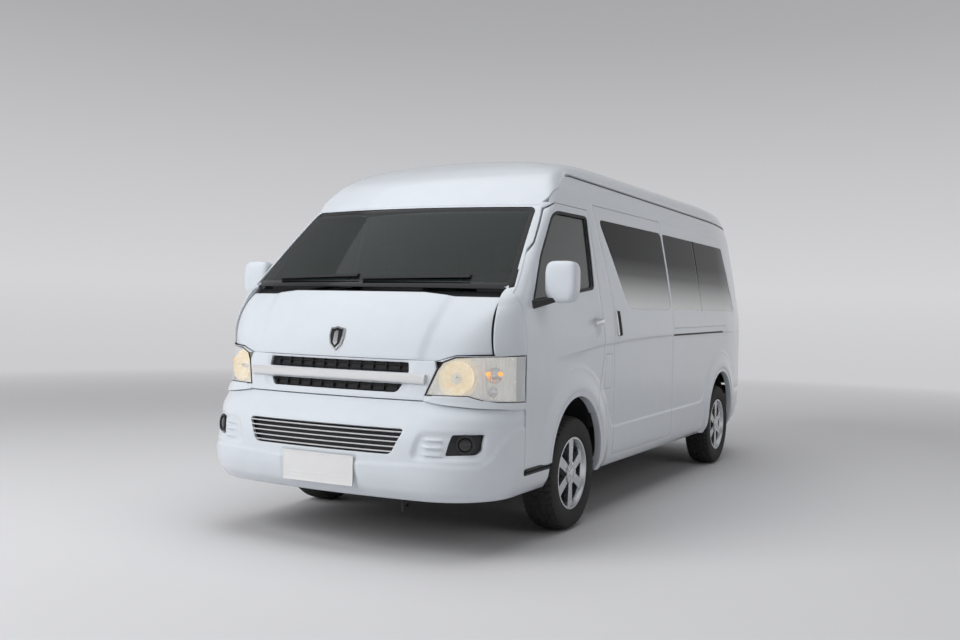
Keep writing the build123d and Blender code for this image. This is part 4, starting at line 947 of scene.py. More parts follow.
# ---- pressings of the side ----
@dataclass(frozen=True)
class SidePressing:
    """Lines and pressings of the side, in y from the front axle and height."""

    belt: tuple = ((-0.60, 0.975), (-0.356, 1.003), (0.337, 1.064), (0.80, 1.088),
                   (1.263, 1.101), (1.730, 1.108), (4.20, 1.117))
    low: tuple = ((0.0, 0.535), (0.487, 0.539), (2.693, 0.555), (4.20, 0.560))
    upper: tuple = ((0.0, 1.944), (0.385, 1.939), (3.405, 1.916), (4.20, 1.909))
    top: tuple = ((0.0, 2.066), (0.431, 2.062), (3.234, 2.034), (4.20, 2.022))
    rail: tuple = ((0.0, 1.100), (1.743, 1.102), (3.148, 1.112), (4.20, 1.118))
    recess: float = 0.005
    flare: float = 0.014
    flare_reach: float = 0.520
    flare_top: float = 0.415
    lip_reach: float = 0.404
    groove: float = 0.004
    crease: float = 0.0035
    rail_ends: tuple = (1.795, 3.262)
    rail_half: float = 0.052
    base: float = 0.25
    ceiling: float = 2.25
    grid: float = 0.024
    ring_reach: float = 0.552
    beside: tuple = (-0.024, -0.016, -0.010, -0.006, -0.002, 0.002, 0.006, 0.010, 0.016, 0.024)
    rings: tuple = (0.373, 0.381, 0.389, 0.394, 0.399, 0.404, 0.412, 0.422, 0.434, 0.448,
                    0.462, 0.478, 0.494, 0.508, 0.520, 0.528, 0.536, 0.545)

    @staticmethod
    def line(points: tuple, y: np.ndarray) -> np.ndarray:
        """Height of a line at y: straight between its points."""
        p = np.asarray(points)
        return np.interp(y, p[:, 0], p[:, 1])

    def relief(self, bare: np.ndarray) -> np.ndarray:
        """How far the side stands out: the flares, the recessed field and the creases.

        The field between the belt and the low crease, and clear of both flares, lies deeper by
        a smooth step; each flare rises by a smooth step in the distance from its axle.
        """
        y, z = bare[:, 1] - AXLE_Y, bare[:, 2]
        wheels = [np.hypot(y - centre, z - ARCH_Z) for centre in (0.0, WHEELBASE)]
        field = soft_min(z - self.line(self.low, y), self.line(self.belt, y) - z, 0.03)
        for r in wheels:
            field = soft_min(field, r - self.flare_reach - 0.012, 0.10)
        fade = smooth_step((y + 0.42) / 0.40) * smooth_step((4.02 - y) / 0.20)
        out = -self.recess * smooth_step(field / 0.014) * fade
        for r in wheels:
            out += self.flare * smooth_step((self.flare_reach - r)
                                            / (self.flare_reach - self.flare_top))
            out -= self.groove * smooth_step((self.lip_reach - r) / 0.012)
        shut = smooth_step((y + 0.1) / 0.4) * smooth_step((4.05 - y) / 0.2)
        for points, wide in ((self.upper, 0.010), (self.top, 0.009)):
            out += shut * self.crease * np.exp(-((z - self.line(points, y)) / wide) ** 2)
        middle = z - self.line(self.rail, y) - 0.002
        ends = smooth_step((y - self.rail_ends[0]) / 0.010)
        ends = ends * smooth_step((self.rail_ends[1] - y) / 0.010)
        out -= self.groove * ends * smooth_step((self.rail_half - np.abs(middle)) / 0.008)
        return out

    def row_heights(self, heights: list) -> np.ndarray:
        """Heights of the lattice's rows: even ones, and close ones along every crease."""
        rail = heights[1]
        marks = [heights[0], rail - self.rail_half, *heights[2:], rail + self.rail_half]
        rows = np.arange(0.305, 2.12, self.grid)
        for mark in marks:
            rows = rows[np.abs(rows - mark) > 0.030]
        rows = np.concatenate([rows] + [mark + np.array(self.beside) for mark in marks])
        rows = np.unique(np.round(rows, 4))
        return rows[np.insert(np.diff(rows) > 0.0015, 0, True)]

    def lattice(self, y_low: float, y_high: float) -> np.ndarray:
        """Chart points whose rows follow the lines, with rings round both wheels.

        Args:
            y_low: Where the points begin, from the front axle.
            y_high: Where they end.

        Returns:
            The points on the chart.
        """
        middle = 1.9
        lines = (self.low, self.rail, self.belt, self.upper, self.top)
        heights = [float(self.line(p, middle)) for p in lines]
        y = np.arange(y_low, y_high, self.grid)
        grid_z, grid_y = np.meshgrid(self.row_heights(heights), y, indexing="ij")
        moves = [np.zeros_like(y)] + [self.line(p, y) - self.line(p, middle) for p in lines]
        moves.append(moves[-1])
        knots = np.array([self.base, *heights, self.ceiling])
        order = np.argsort(knots)
        knots, moves = knots[order], np.stack([moves[i] for i in order])
        shift = np.zeros_like(grid_z)
        for k in range(len(knots) - 1):
            t = (grid_z - knots[k]) / (knots[k + 1] - knots[k])
            value = moves[k][None, :] * (1 - t) + moves[k + 1][None, :] * t
            shift = np.where((t >= 0) & (t < 1), value, shift)
        points = np.stack([grid_y.ravel(), (grid_z + shift).ravel()], 1)
        r, a = np.meshgrid(self.rings, np.radians(np.arange(-20, 201, 2.2)), indexing="ij")
        rings = []
        for centre in (0.0, WHEELBASE):
            far = np.hypot(points[:, 0] - centre, points[:, 1] - ARCH_Z)
            points = points[far > self.ring_reach]
            rings.append(np.stack([(centre + r * np.cos(a)).ravel(),
                                   (ARCH_Z + r * np.sin(a)).ravel()], 1))
        points = np.vstack([points, *rings])
        ok = (points[:, 0] > y_low) & (points[:, 0] < y_high) & (points[:, 1] > 0.302)
        return FORM.chart(View.SIDE, points[ok])


PRESSING = SidePressing()


def arch_line(centre: float, start: float, end: float) -> np.ndarray:
    """Points of a wheel opening from one angle to another, in degrees, y and z."""
    a = np.radians(np.linspace(start, end, max(int(abs(end - start) / 3), 2)))
    return np.stack([centre + ARCH_R * np.cos(a), ARCH_Z + ARCH_R * np.sin(a)], 1)


# ---- sub-assemblies ----
@dataclass
class BodySides:
    """Side walls, front doors, sliding door, fuel lid and their glass."""

    finishes: Finishes
    wall: float = 0.042
    door: float = 0.050
    sill_z: float = 0.302
    tail_foot: tuple = (0.8065, 0.607)
    tail_top: tuple = (0.6965, 2.047)
    door_seam: tuple = ((-0.690, 1.036), (-0.733, 1.372), (-0.690, 1.440), (-0.429, 1.634),
                        (-0.218, 1.839), (-0.110, 1.882), (0.360, 1.882), (0.374, 1.337),
                        (0.408, 1.062), (0.405, 0.950), (0.345, 0.802), (0.287, 0.685),
                        (0.2705, 0.6565))
    door_foot: tuple = ((-0.3655, 0.438), (-0.690, 0.438))
    door_window: tuple = ((-0.600, 1.308), (-0.425, 1.569), (-0.185, 1.810), (-0.100, 1.838),
                          (0.338, 1.842), (0.292, 1.402))
    window_corner: float = 0.035
    over_screen: tuple = ((-0.150, 1.889), (-0.128, 1.915), (-0.060, 1.972), (0.050, 2.028),
                          (0.155, 2.070), (0.243, 2.092))
    slider: tuple = ((0.590, 0.370), (0.590, 1.285), (0.470, 1.925), (1.782, 1.925),
                     (1.782, 0.370))
    pane_one: tuple = ((0.535, 1.845), (1.766, 1.845), (1.766, 1.285), (0.862, 1.285))
    pane_right: tuple = ((0.535, 1.845), (1.780, 1.845), (1.780, 1.285), (0.862, 1.285))
    pane_rest: tuple = ((1.795, 1.843), (3.440, 1.832), (3.602, 1.283), (1.795, 1.285))
    pane_split: float = 2.560
    lid: tuple = ((0.420, 0.790), (0.548, 0.790), (0.552, 1.000), (0.452, 1.000))

    def door_outline(self) -> np.ndarray:
        """Front door: its seams, and along the bottom the wheel opening."""
        corner = arch_line(0.0, 42.4, 175.6)
        return dense(np.vstack([self.door_seam, corner, self.door_foot]), FINE)

    def wall_outline(self, roof_line: Callable) -> list:
        """Side wall: door seam, wheel openings, sill, rear corner and the roof rail."""
        behind = [(0.287, 0.683), (0.345, 0.799), (0.405, 0.949), (0.408, 1.062),
                  (0.374, 1.337)]
        seam = [(0.2770 + GAP * 0.2, 0.6480)] + [(y + GAP, z) for y, z in behind]
        seam += [(0.360 + GAP, 1.882 + GAP), (-0.112, 1.882 + GAP)]
        top = [(y, float(roof_line(y))) for y in np.linspace(0.28, 3.95, 60)]
        low = [(3.713, self.tail_foot[1]), (3.713, self.sill_z),
               (WHEELBASE + ARCH_R, self.sill_z), *arch_line(WHEELBASE, 0, 180).tolist(),
               (WHEELBASE - ARCH_R, self.sill_z), (ARCH_R, self.sill_z),
               *arch_line(0.0, 0, 40.5).tolist()]
        heights = np.linspace(2.045, self.tail_foot[1], 40)
        (foot_x, foot_z), (top_x, top_z) = self.tail_foot, self.tail_top
        tail_x = foot_x + (top_x - foot_x) * (heights - foot_z) / (top_z - foot_z)
        return [(View.SIDE, seam + list(self.over_screen) + top),
                (View.BACK, list(zip(tail_x, heights))), (View.SIDE, low)]

    def build(self, roof_line: Callable) -> None:
        """Make the walls, doors, glass and lid, with the hand recesses under the handles."""
        f = self.finishes
        lattice = PRESSING.lattice(-0.80, 4.20)
        corner = pairs(np.arange(FORM.lengths[4], FORM.lengths[5] + 0.16, 0.018),
                       np.arange(0.62, 2.05, 0.024))
        whole = np.vstack([lattice[lattice[:, 0] < FORM.lengths[4]], corner])
        opening = rounded(self.door_window, self.window_corner)
        slider = dense(rounded(self.slider, 0.022), COARSE)
        lid = dense(rounded(self.lid, 0.012), 0.010)
        first, right_first = (drawn(View.SIDE, rounded(pane, 0.060), COARSE)
                              for pane in (self.pane_one, self.pane_right))
        rest = drawn(View.SIDE, rounded(self.pane_rest, 0.030), COARSE)
        left_holes = [drawn(View.SIDE, grown(slider, GAP * 0.8), COARSE), rest,
                      FORM.chart(View.SIDE, grown(lid, 0.004))]
        wall_line = trace(self.wall_outline(roof_line))
        door_line = beside_screen(FORM.chart(View.SIDE, self.door_outline()), 0.0385)
        door = skin_panel(door_line, lattice, self.door,
                          holes=[drawn(View.SIDE, opening, FINE)], relief=self.door_relief)
        door_glass = skin_panel(drawn(View.SIDE, grown(opening, 0.002), FINE), lattice, PANE,
                                0.012)
        left, right = (skin_panel(wall_line, whole, self.wall, holes=holes,
                                  relief=PRESSING.relief)
                       for holes in (left_holes, [right_first, rest]))
        slide = skin_panel(FORM.chart(View.SIDE, slider), lattice, self.door, holes=[first],
                           relief=self.slider_relief)
        for name, shape, node in (("wall_left", left, "left_side_wall"),
                                  ("wall_right", right.mirrored(), "right_side_wall"),
                                  ("slider_skin", slide, "sliding_door")):
            place_piece(name, shape, [f.paint, f.headliner], (node,))
        for side in Side:
            tag = side.name.lower()
            place_piece(f"door_skin_{tag}", door.on(side), [f.paint, f.trim],
                        (f"{tag}_front_door",), f"{tag}_door")
            place_piece(f"door_pane_{tag}", door_glass.on(side), [f.door_glass, f.door_glass],
                        (f"{tag}_door_glass",), f"{tag}_door")
        flap = skin_panel(FORM.chart(View.SIDE, lid), lattice, SKIN, relief=PRESSING.relief)
        place_piece("fuel_flap", flap, [f.paint, f.black], ("fuel_lid",),
                    "fuel_lid_body")
        self.side_glass(whole)

    @staticmethod
    def cupped(bare: np.ndarray, centre: tuple, reach: tuple, depth: float) -> np.ndarray:
        """The side's relief, with a round hand recess pressed in at (y, z)."""
        y, z = bare[:, 1] - AXLE_Y, bare[:, 2]
        cup = 1 - np.hypot((y - centre[0]) / reach[0], (z - centre[1]) / reach[1])
        return PRESSING.relief(bare) - depth * smooth_step(cup / 0.75)

    def door_relief(self, bare: np.ndarray) -> np.ndarray:
        """The side's relief, with the hand recess under the door handle."""
        return self.cupped(bare, (0.285, 1.165), (0.062, 0.062), 0.014)

    def slider_relief(self, bare: np.ndarray) -> np.ndarray:
        """The side's relief, with the recess under the sliding door's handle."""
        return self.cupped(bare, (0.672, 1.140), (0.052, 0.055), 0.012)

    def side_glass(self, lattice: np.ndarray) -> None:
        """Flush panes: one in the sliding door, two behind it, and the same on the right."""
        f = self.finishes
        split, slim = self.pane_split, 0.004
        top, base = self.pane_rest[0][1], self.pane_rest[3][1]
        middle = [(1.797, top), (split - slim, top - 0.005), (split - slim, base - 0.001),
                  (1.797, base)]
        last = [(split + slim, top - 0.005), self.pane_rest[1], self.pane_rest[2],
                (split + slim, base - 0.001)]
        shrink = -0.0035
        lines = [grown(dense(rounded(corners, radius), COARSE), amount)
                 for corners, radius, amount in ((self.pane_one, 0.060, shrink),
                                                 (middle, 0.010, shrink * 0.6),
                                                 (last, 0.030, shrink * 0.6))]
        panes = [skin_panel(FORM.chart(View.SIDE, line), lattice, PANE, 0.0025)
                 for line in lines]
        beds = [skin_panel(FORM.chart(View.SIDE, grown(line, 0.014)), lattice, PANE, 0.0075)
                for line in lines]
        # The side panes' material paints a pale reflection low down on the dark glass.
        place_piece("side_panes", Shape.pair(*panes), [f.film, f.film],
                    ("side_glass",))
        place_piece("pane_beds", Shape.pair(*beds).painted(0), [f.rubber])


@dataclass
class Roof:
    """High roof: a crown, a ramp over the screen and a short rear drop, and its side rails."""

    finishes: Finishes
    crown_r: float = 2.300
    crown_x: float = 0.620
    shoulder_r: float = 0.165
    front_r: float = 2.6
    front_at: float = 0.890
    thickness: float = 0.038
    rail: tuple = ((0.160, 2.085), (0.243, 2.098), (1.464, 2.087), (3.228, 2.068),
                   (3.95, 2.056))
    pillar_top: tuple = ((-0.157, 1.887), (-0.112, 1.893), (-0.040, 1.955), (0.060, 2.018),
                         (0.160, 2.066), (0.243, 2.094))

    def rail_line(self, y: np.ndarray) -> np.ndarray:
        """Height of the side rail at y from the front axle."""
        return SidePressing.line(self.rail, y)

    def crown(self, x: np.ndarray) -> np.ndarray:
        """Cross-section's height: a flat arc, the shoulder's arc and the leaning flank."""
        x = np.abs(x)
        centre = FORM.height - self.crown_r
        apart = self.crown_r - self.shoulder_r
        turn = math.asin(self.crown_x / self.crown_r)
        sx, sz = apart * math.sin(turn), centre + apart * math.cos(turn)
        flat = centre + np.sqrt(np.maximum(self.crown_r ** 2 - x * x, 0))
        bend = sz + np.sqrt(np.maximum(self.shoulder_r ** 2 - (x - sx) ** 2, 0))
        flank = FORM.flank_z - (x - FORM.flank_x) * FORM.flank_slope
        return np.select([x < self.crown_x, x < FORM.flank_x], [flat, bend], flank)

    def height(self, x: np.ndarray, y: np.ndarray) -> np.ndarray:
        """Roof height: a soft least of the crown, the front ramp, the rear drop and the taper."""
        top = FORM.roof_nose[-1][0] / 1000
        levels = np.linspace(FORM.header_z, top, 200)
        depth = y - FORM.front - arc_sag(x, self.front_r)
        ramp = np.where(depth < self.front_at, (depth - self.front_at) / 0.95 + FORM.header_z,
                        np.interp(depth, FORM.value(FORM.roof_nose, levels), levels))
        levels = np.linspace(1.9, top, 200)
        depth = FORM.rear - y - arc_sag(x, FORM.tail_r)
        tail = np.interp(depth, FORM.value(FORM.tail, levels), levels)
        late = np.maximum(y - FORM.taper_start, 0)
        narrow = FORM.taper_r - np.sqrt(FORM.taper_r ** 2 - late * late)
        taper = self.crown(np.abs(x) + narrow * 0.9)
        return soft_min(soft_min(taper, ramp, 0.10), tail, 0.05)

    def outline(self) -> np.ndarray:
        """Plan outline of the left half, then closed down the middle's mirror."""
        x = np.linspace(0, 0.760, 30)
        front = np.stack([x, FORM.front + 0.8935 + self.front_r
                          - np.sqrt(self.front_r ** 2 - x * x)], 1)
        y = np.linspace(AXLE_Y - 0.15, AXLE_Y + 0.243, 14)
        edge_z = SidePressing.line(self.pillar_top, y - AXLE_Y)
        corner = np.stack([FORM.flank_x + (FORM.flank_z - edge_z) / FORM.flank_slope, y], 1)
        corner[:, 0] = np.minimum(corner[:, 0], 0.790)
        y = np.linspace(AXLE_Y + 0.28, AXLE_Y + 3.95, 60)
        rail_z = self.rail_line(y - AXLE_Y)
        spots = FORM.point(FORM.station_of(View.SIDE, y, rail_z), rail_z)
        x = np.linspace(0.690, 0, 25)
        tail = np.stack([x, FORM.rear - 0.0845 - arc_sag(x, FORM.tail_r)], 1)
        half = np.vstack([front, corner, spots[:, :2], tail])
        return dense(np.vstack([half, half[::-1][1:-1] * (-1, 1)]), 0.016)

    def slope(self, flat: np.ndarray, ahead: np.ndarray) -> np.ndarray:
        """Rise of the roof at plan points over a small step each way in one direction."""
        (x1, y1), (x2, y2) = (flat + ahead).T, (flat - ahead).T
        return (self.height(x1, y1) - self.height(x2, y2)) / (2 * np.sum(ahead))

    def build(self) -> None:
        """Make the roof skin and its rails."""
        f = self.finishes
        y = np.concatenate([np.linspace(-1.82, -0.9, 48), np.linspace(-0.87, 2.30, 60),
                            2.32 + 0.30 * np.linspace(0, 1, 26) ** 0.8])
        lattice = pairs(np.linspace(-0.80, 0.80, 65), y)
        shoulder = np.linspace(0.62, 0.79, 18)
        lattice = np.vstack([lattice[np.abs(lattice[:, 0]) < 0.615],
                             pairs(np.concatenate([-shoulder, shoulder]), y)])
        flat, tris = triangulate(self.outline(), [], lattice, 0.005)
        points = np.column_stack([flat, self.height(flat[:, 0], flat[:, 1])])
        slopes = [self.slope(flat, np.array(ahead)) for ahead in ((0.001, 0.0), (0.0, 0.001))]
        normal = unit(np.column_stack([-slopes[0], -slopes[1], np.ones(len(flat))]))
        place_piece("roof_skin", shell(points, normal, tris, self.thickness),
                    [f.paint, f.headliner], ("roof_panel",))
        y = np.linspace(0.190, 3.93, 120)
        for name, finish, slot, drop, half, high in (
                ("roof_rails", f.paint, "white_paint", 0.0, 0.011, 0.012),
                ("rail_seals", f.rubber, "black_plastic", 0.0145, 0.0028, 0.0035)):
            bead = strip(*FORM.skin(View.SIDE, y, self.rail_line(y) - drop), half, high)
            place_piece(name, Shape.pair(bead), [finish])


def direction(path: np.ndarray, closed: bool) -> np.ndarray:
    """Unit direction of a path at each of its points."""
    if closed:
        return unit(np.roll(path, -1, axis=0) - np.roll(path, 1, axis=0))
    return unit(np.gradient(path, axis=0))


def strip(path: np.ndarray, normal: np.ndarray, half: float, height: float,
          closed: bool = False, sink: float = 0.004, sides: int = 9) -> Shape:
    """Rounded bead along a line on a surface: a half superellipse carried along the path.

    Args:
        path: Points of the line.
        normal: The surface's normals there.
        half: Half the bead's width.
        height: How far it stands out.
        closed: Whether the line joins its start.
        sink: How far its foot lies under the surface.
        sides: Points across the bead.

    Returns:
        The bead.
    """
    across = unit(np.cross(normal, direction(path, closed)))
    t = np.linspace(0, np.pi, sides)
    wide = np.concatenate([[1.0], np.sign(np.cos(t)) * np.abs(np.cos(t)) ** 0.7, [-1.0]])
    tall = np.concatenate([[-sink], height * np.sin(t) ** 0.7, [-sink]])
    grid = (path[:, None, :] + across[:, None, :] * (wide * half)[None, :, None]
            + normal[:, None, :] * tall[None, :, None])
    shape = grid_shape(grid, wrap_rows=closed, wrap_columns=True, caps=not closed)
    return outward(shape)


def outward(shape: Shape) -> Shape:
    """The shape with its faces turned outwards: a closed shape's signed volume is positive."""
    volume = 0.0
    v = shape.verts
    for count in {len(f) for f in shape.faces}:
        f = np.array([face for face in shape.faces if len(face) == count])
        for k in range(1, count - 1):
            volume += np.sum(np.einsum("ij,ij->i", v[f[:, 0]],
                                       np.cross(v[f[:, k]], v[f[:, k + 1]])))
    if volume < 0:
        return Shape(v, [tuple(face)[::-1] for face in shape.faces], shape.mats)
    return shape


def nose_lattice(a_high: float, z_low: float, z_high: float, step_a: float, step_z: float,
                 a_low: float | None = None) -> np.ndarray:
    """Chart points in rows over the nose, from one side round to the other."""
    return pairs(np.arange(-a_high if a_low is None else a_low, a_high, step_a),
                 np.arange(z_low, z_high, step_z))


def mirror_loop(points: list) -> list:
    """A front view outline of the left half, from the middle up or down, and its mirror."""
    return list(points) + [(-x, z) for x, z in points[::-1] if abs(x) > 1e-9]


@dataclass
class NoseForm:
    """Lines and pressings of the nose: the bonnet's facets and the bumper's ledges."""

    crease_low: tuple = (0.488, 1.003)
    crease_high: tuple = (0.557, 1.349)
    lip: tuple = ((0.0, 0.480), (0.235, 0.481), (0.650, 0.494), (0.741, 0.486), (0.854, 0.487),
                  (0.891, 0.521), (0.915, 0.600), (0.940, 0.660))
    fog_low: float = 0.490
    fog_high: float = 0.668
    fog_in: float = 0.544
    fog_out: float = 0.880
    fog_bars: tuple = (0.548, 0.585, 0.622)
    plate_half: float = 0.245
    plate_low: float = 0.345
    plate_high: float = 0.522
    slots_half: float = 0.47
    slots_low: float = 0.828
    slots_high: float = 1.01

    def bonnet(self, bare: np.ndarray) -> np.ndarray:
        """A broad middle field that stands out, with a soft crease on each side of it."""
        x, z = np.abs(bare[:, 0]), bare[:, 2]
        (x_low, z_low), (x_high, z_high) = self.crease_low, self.crease_high
        crease = x_low + (z - z_low) * (x_high - x_low) / (z_high - z_low)
        return -0.009 * smooth_step((x - crease + 0.012) / 0.055)

    def bumper(self, bare: np.ndarray) -> np.ndarray:
        """Lower lip standing out, fog panel pressed in with three bars, room for the plate."""
        x, z = np.abs(bare[:, 0]), bare[:, 2]
        ledge = SidePressing.line(self.lip, x)
        out = -0.008 * smooth_step((z - ledge + 0.006) / 0.014)
        inner = self.fog_in + (z - 0.58) * 0.30
        field = soft_min(soft_min(z - self.fog_low - 0.020, self.fog_high - z, 0.03),
                         soft_min(x - inner, self.fog_out - x, 0.03), 0.04)
        deep = smooth_step(field / 0.028)
        out -= 0.016 * deep
        bars = np.max([smooth_step(1.4 - np.abs(z - level) / 0.0075)
                       for level in self.fog_bars], axis=0)
        bars = bars * smooth_step((x - 0.590) / 0.03) * smooth_step((0.708 - x) / 0.012)
        out += 0.013 * bars * deep
        gusset = smooth_step(1 - np.abs(z - 0.735 + (x - 0.62) * 0.10) / 0.045)
        out += 0.004 * gusset * smooth_step((x - 0.50) / 0.2)
        plate = (smooth_step((self.plate_half - x) / 0.012)
                 * smooth_step((self.plate_high - z) / 0.010)
                 * smooth_step((z - self.plate_low) / 0.010))
        return out - 0.006 * plate

    def grille(self, bare: np.ndarray) -> np.ndarray:
        """Frame of the upper grille, pressed in round its slots."""
        x, z = np.abs(bare[:, 0]), bare[:, 2]
        tall = soft_min(z - self.slots_low, self.slots_high - z, 0.02)
        return -0.008 * smooth_step(soft_min(self.slots_half - x, tall, 0.03) / 0.02)


NOSE = NoseForm()


@dataclass
class FrontEnd:
    """Bonnet, nose corners, pillars, screen, grille, bumper and plate."""

    finishes: Finishes
    bonnet_edge: tuple = ((0.0, 1.3515), (0.420, 1.3515), (0.560, 1.3375), (0.8165, 1.3375),
                          (0.8375, 1.139), (0.8465, 1.042), (0.690, 1.037), (0.620, 1.015),
                          (0.590, 1.0055), (0.0, 1.0055))
    pillar_inner: tuple = ((0.8545, 1.0415), (0.8525, 1.060), (0.8475, 1.139), (0.840, 1.225),
                           (0.8235, 1.350), (0.8235, 1.372), *SCREEN_EDGE, (0.764, 1.878))
    pillar_seam: tuple = ((-0.112, 1.889), (-0.2205, 1.8475), (-0.4335, 1.6405),
                          (-0.6965, 1.443), (-0.7395, 1.372), (-0.6965, 1.036))
    sill_upper: tuple = ((0.5705, 0.8045), (0.600, 0.8285), (0.638, 0.8290), (0.764, 0.8275),
                         (0.803, 0.8135), (0.842, 0.8000), (0.884, 0.7960))
    sill_side: tuple = ((-0.6985, 0.7895), (-0.6985, 0.7565))
    sill_lower: tuple = ((0.870, 0.7690), (0.781, 0.7770), (0.650, 0.7910), (0.5705, 0.8030))
    screen_corners: tuple = ((-0.853, 1.383), (0.853, 1.383), (0.757, 1.855), (-0.757, 1.855))
    cowl: tuple = ((0.0, 1.336), (0.430, 1.336), (0.570, 1.322), (0.8205, 1.322),
                   (0.8205, 1.372), (0.850, 1.384), (0.0, 1.384))
    grille_edge: tuple = ((0.0, 1.0005), (0.588, 1.0005), (0.5995, 0.960), (0.5545, 0.829),
                          (0.566, 0.806), (0.0, 0.806))
    top_slot: tuple = ((-0.452, 0.937), (0.452, 0.937), (0.444, 0.993), (-0.444, 0.993))
    low_slot: tuple = ((-0.395, 0.836), (0.395, 0.836), (0.428, 0.884), (-0.428, 0.884))
    grille_bed: tuple = ((-0.47, 0.825), (0.47, 0.825), (0.47, 1.0), (-0.47, 1.0))
    bumper_top: tuple = ((0.0, 0.7995), (0.563, 0.7995), (0.650, 0.787), (0.781, 0.773),
                         (0.870, 0.765))
    bumper_side: tuple = ((-0.6965, 0.752), (-0.6965, 0.4065), (-0.3730, 0.4065),
                          (-0.3660, 0.395), (-0.3660, 0.302), (-0.6965, 0.302))
    bumper_foot: tuple = ((0.60, 0.302), (0.0, 0.302))
    mouth: tuple = ((-0.432, 0.533), (0.432, 0.533), (0.496, 0.668), (-0.496, 0.668))
    fog: tuple = ((0.716, 0.541), (0.850, 0.545), (0.866, 0.565), (0.868, 0.650),
                  (0.738, 0.653))
    badge_rim: tuple = ((0.0, 1.158), (0.020, 1.152), (0.043, 1.150), (0.045, 1.108),
                        (0.034, 1.066), (0.0, 1.036))
    badge_core: tuple = ((0.0, 1.135), (0.011, 1.128), (0.012, 1.075), (0.0, 1.062))
    plate_low: tuple = (-0.222, 0.357)
    plate_high: tuple = (0.222, 0.511)

    def pillar(self) -> Shape:
        """Nose corner and screen pillar of the left side, from the lamp up to the roof."""
        inner = drawn(View.FRONT, self.pillar_inner, 0.010, False)
        seam = beside_screen(drawn(View.SIDE, self.pillar_seam, 0.010, False), 0.032)
        return skin_panel(dense(np.vstack([inner, seam]), 0.016),
                          nose_lattice(1.95, 1.045, 1.90, 0.016, 0.018, 0.60), SKIN, -0.0030)

    def lamp_sill(self) -> Shape:
        """Narrow white panel of the left side between the lamp and the bumper's seam."""
        outline = trace([(View.FRONT, self.sill_upper), (View.SIDE, self.sill_side),
                         (View.FRONT, self.sill_lower)], 0.008)
        return skin_panel(outline, nose_lattice(1.95, 0.76, 0.83, 0.012, 0.007, 0.50), SKIN,
                          -0.0030)

    def screen_line(self, amount: float) -> np.ndarray:
        """Outline of the screen seen from the front, moved outwards."""
        line = dense(rounded(self.screen_corners, 0.045), COARSE)
        return FORM.chart(View.FRONT, grown(line, amount))

    def build(self) -> None:
        """Make the nose."""
        f = self.finishes
        bonnet = skin_panel(drawn(View.FRONT, mirror_loop(self.bonnet_edge), COARSE),
                            nose_lattice(1.2, 1.008, 1.36, 0.016, 0.016), SKIN,
                            relief=NOSE.bonnet)
        place_piece("bonnet_skin", bonnet, [f.paint, f.black], ("bonnet",),
                    "bonnet_body")
        corners = Shape.join([Shape.pair(self.pillar()), Shape.pair(self.lamp_sill())])
        place_piece("nose_corners", corners, [f.paint, f.trim])
        self.glass()
        self.grille()
        self.bumper()
        self.strips()
        self.plate()
        self.badge()

    def glass(self) -> None:
        """Screen with its black border and the cowl under it."""
        f = self.finishes
        lattice = nose_lattice(1.15, 1.385, 1.86, 0.022, 0.022)
        inner = self.screen_line(-0.026)
        border = skin_panel(self.screen_line(0.003), lattice, 0.005, 0.0025, [inner])
        pane = skin_panel(inner, lattice, PANE, 0.003, edge=0.0001)
        cowl = skin_panel(drawn(View.FRONT, mirror_loop(self.cowl), FINE),
                          nose_lattice(1.15, 1.32, 1.385, 0.016, 0.010), PANE, 0.034)
        place_piece("screen_border", border.painted(0), [f.frit])
        place_piece("screen_pane", pane, [f.screen, f.screen], ("windscreen",))
        place_piece("cowl", cowl, [f.black, f.black])

    def grille(self) -> None:
        """Painted frame with two slots, the satin bar across it and the ribs behind."""
        f = self.finishes
        lattice = nose_lattice(0.75, 0.81, 1.0, 0.014, 0.010)
        slots = [drawn(View.FRONT, rounded(corners, radius), FINE)
                 for corners, radius in ((self.top_slot, 0.010), (self.low_slot, 0.018))]
        edge = skin_panel(drawn(View.FRONT, mirror_loop(self.grille_edge), FINE), lattice,
                          0.024, holes=slots, relief=NOSE.grille)
        bed = skin_panel(drawn(View.FRONT, self.grille_bed, COARSE), lattice, PANE, 0.030)
        place_piece("grille_frame", Shape.join([edge.painted(0), bed.painted(1)]),
                    [f.paint, f.black], ("grille",))
        ribs = [self.bar(np.full(8, x), np.linspace(0.832, 0.996, 8), 0.004, 0.006, 0.022)
                for x in np.arange(-0.39, 0.40, 0.078)]
        ribs += [self.bar(np.linspace(-0.45, 0.45, 40), np.full(40, z), 0.003, 0.006, 0.024)
                 for z in (0.846, 0.873, 0.952, 0.978)]
        place_piece("grille_ribs", Shape.join(ribs), [f.rubber])
        xs = np.linspace(-0.552, 0.552, 90)
        bar = self.bar(xs, np.full(90, 0.911) - 0.004 * (xs / 0.55) ** 2, 0.025, 0.020, -0.004,
                       0.010)
        place_piece("grille_bar", bar, [f.satin])

    @staticmethod
    def bar(xs: np.ndarray, zs: np.ndarray, half: float, height: float, sink: float,
            foot: float = 0.004) -> Shape:
        """Bead on the nose along points given by x and z, sunk by an amount."""
        points, normals = FORM.skin(View.FRONT, xs, zs)
        return strip(points - normals * sink, normals, half, height, sink=foot)

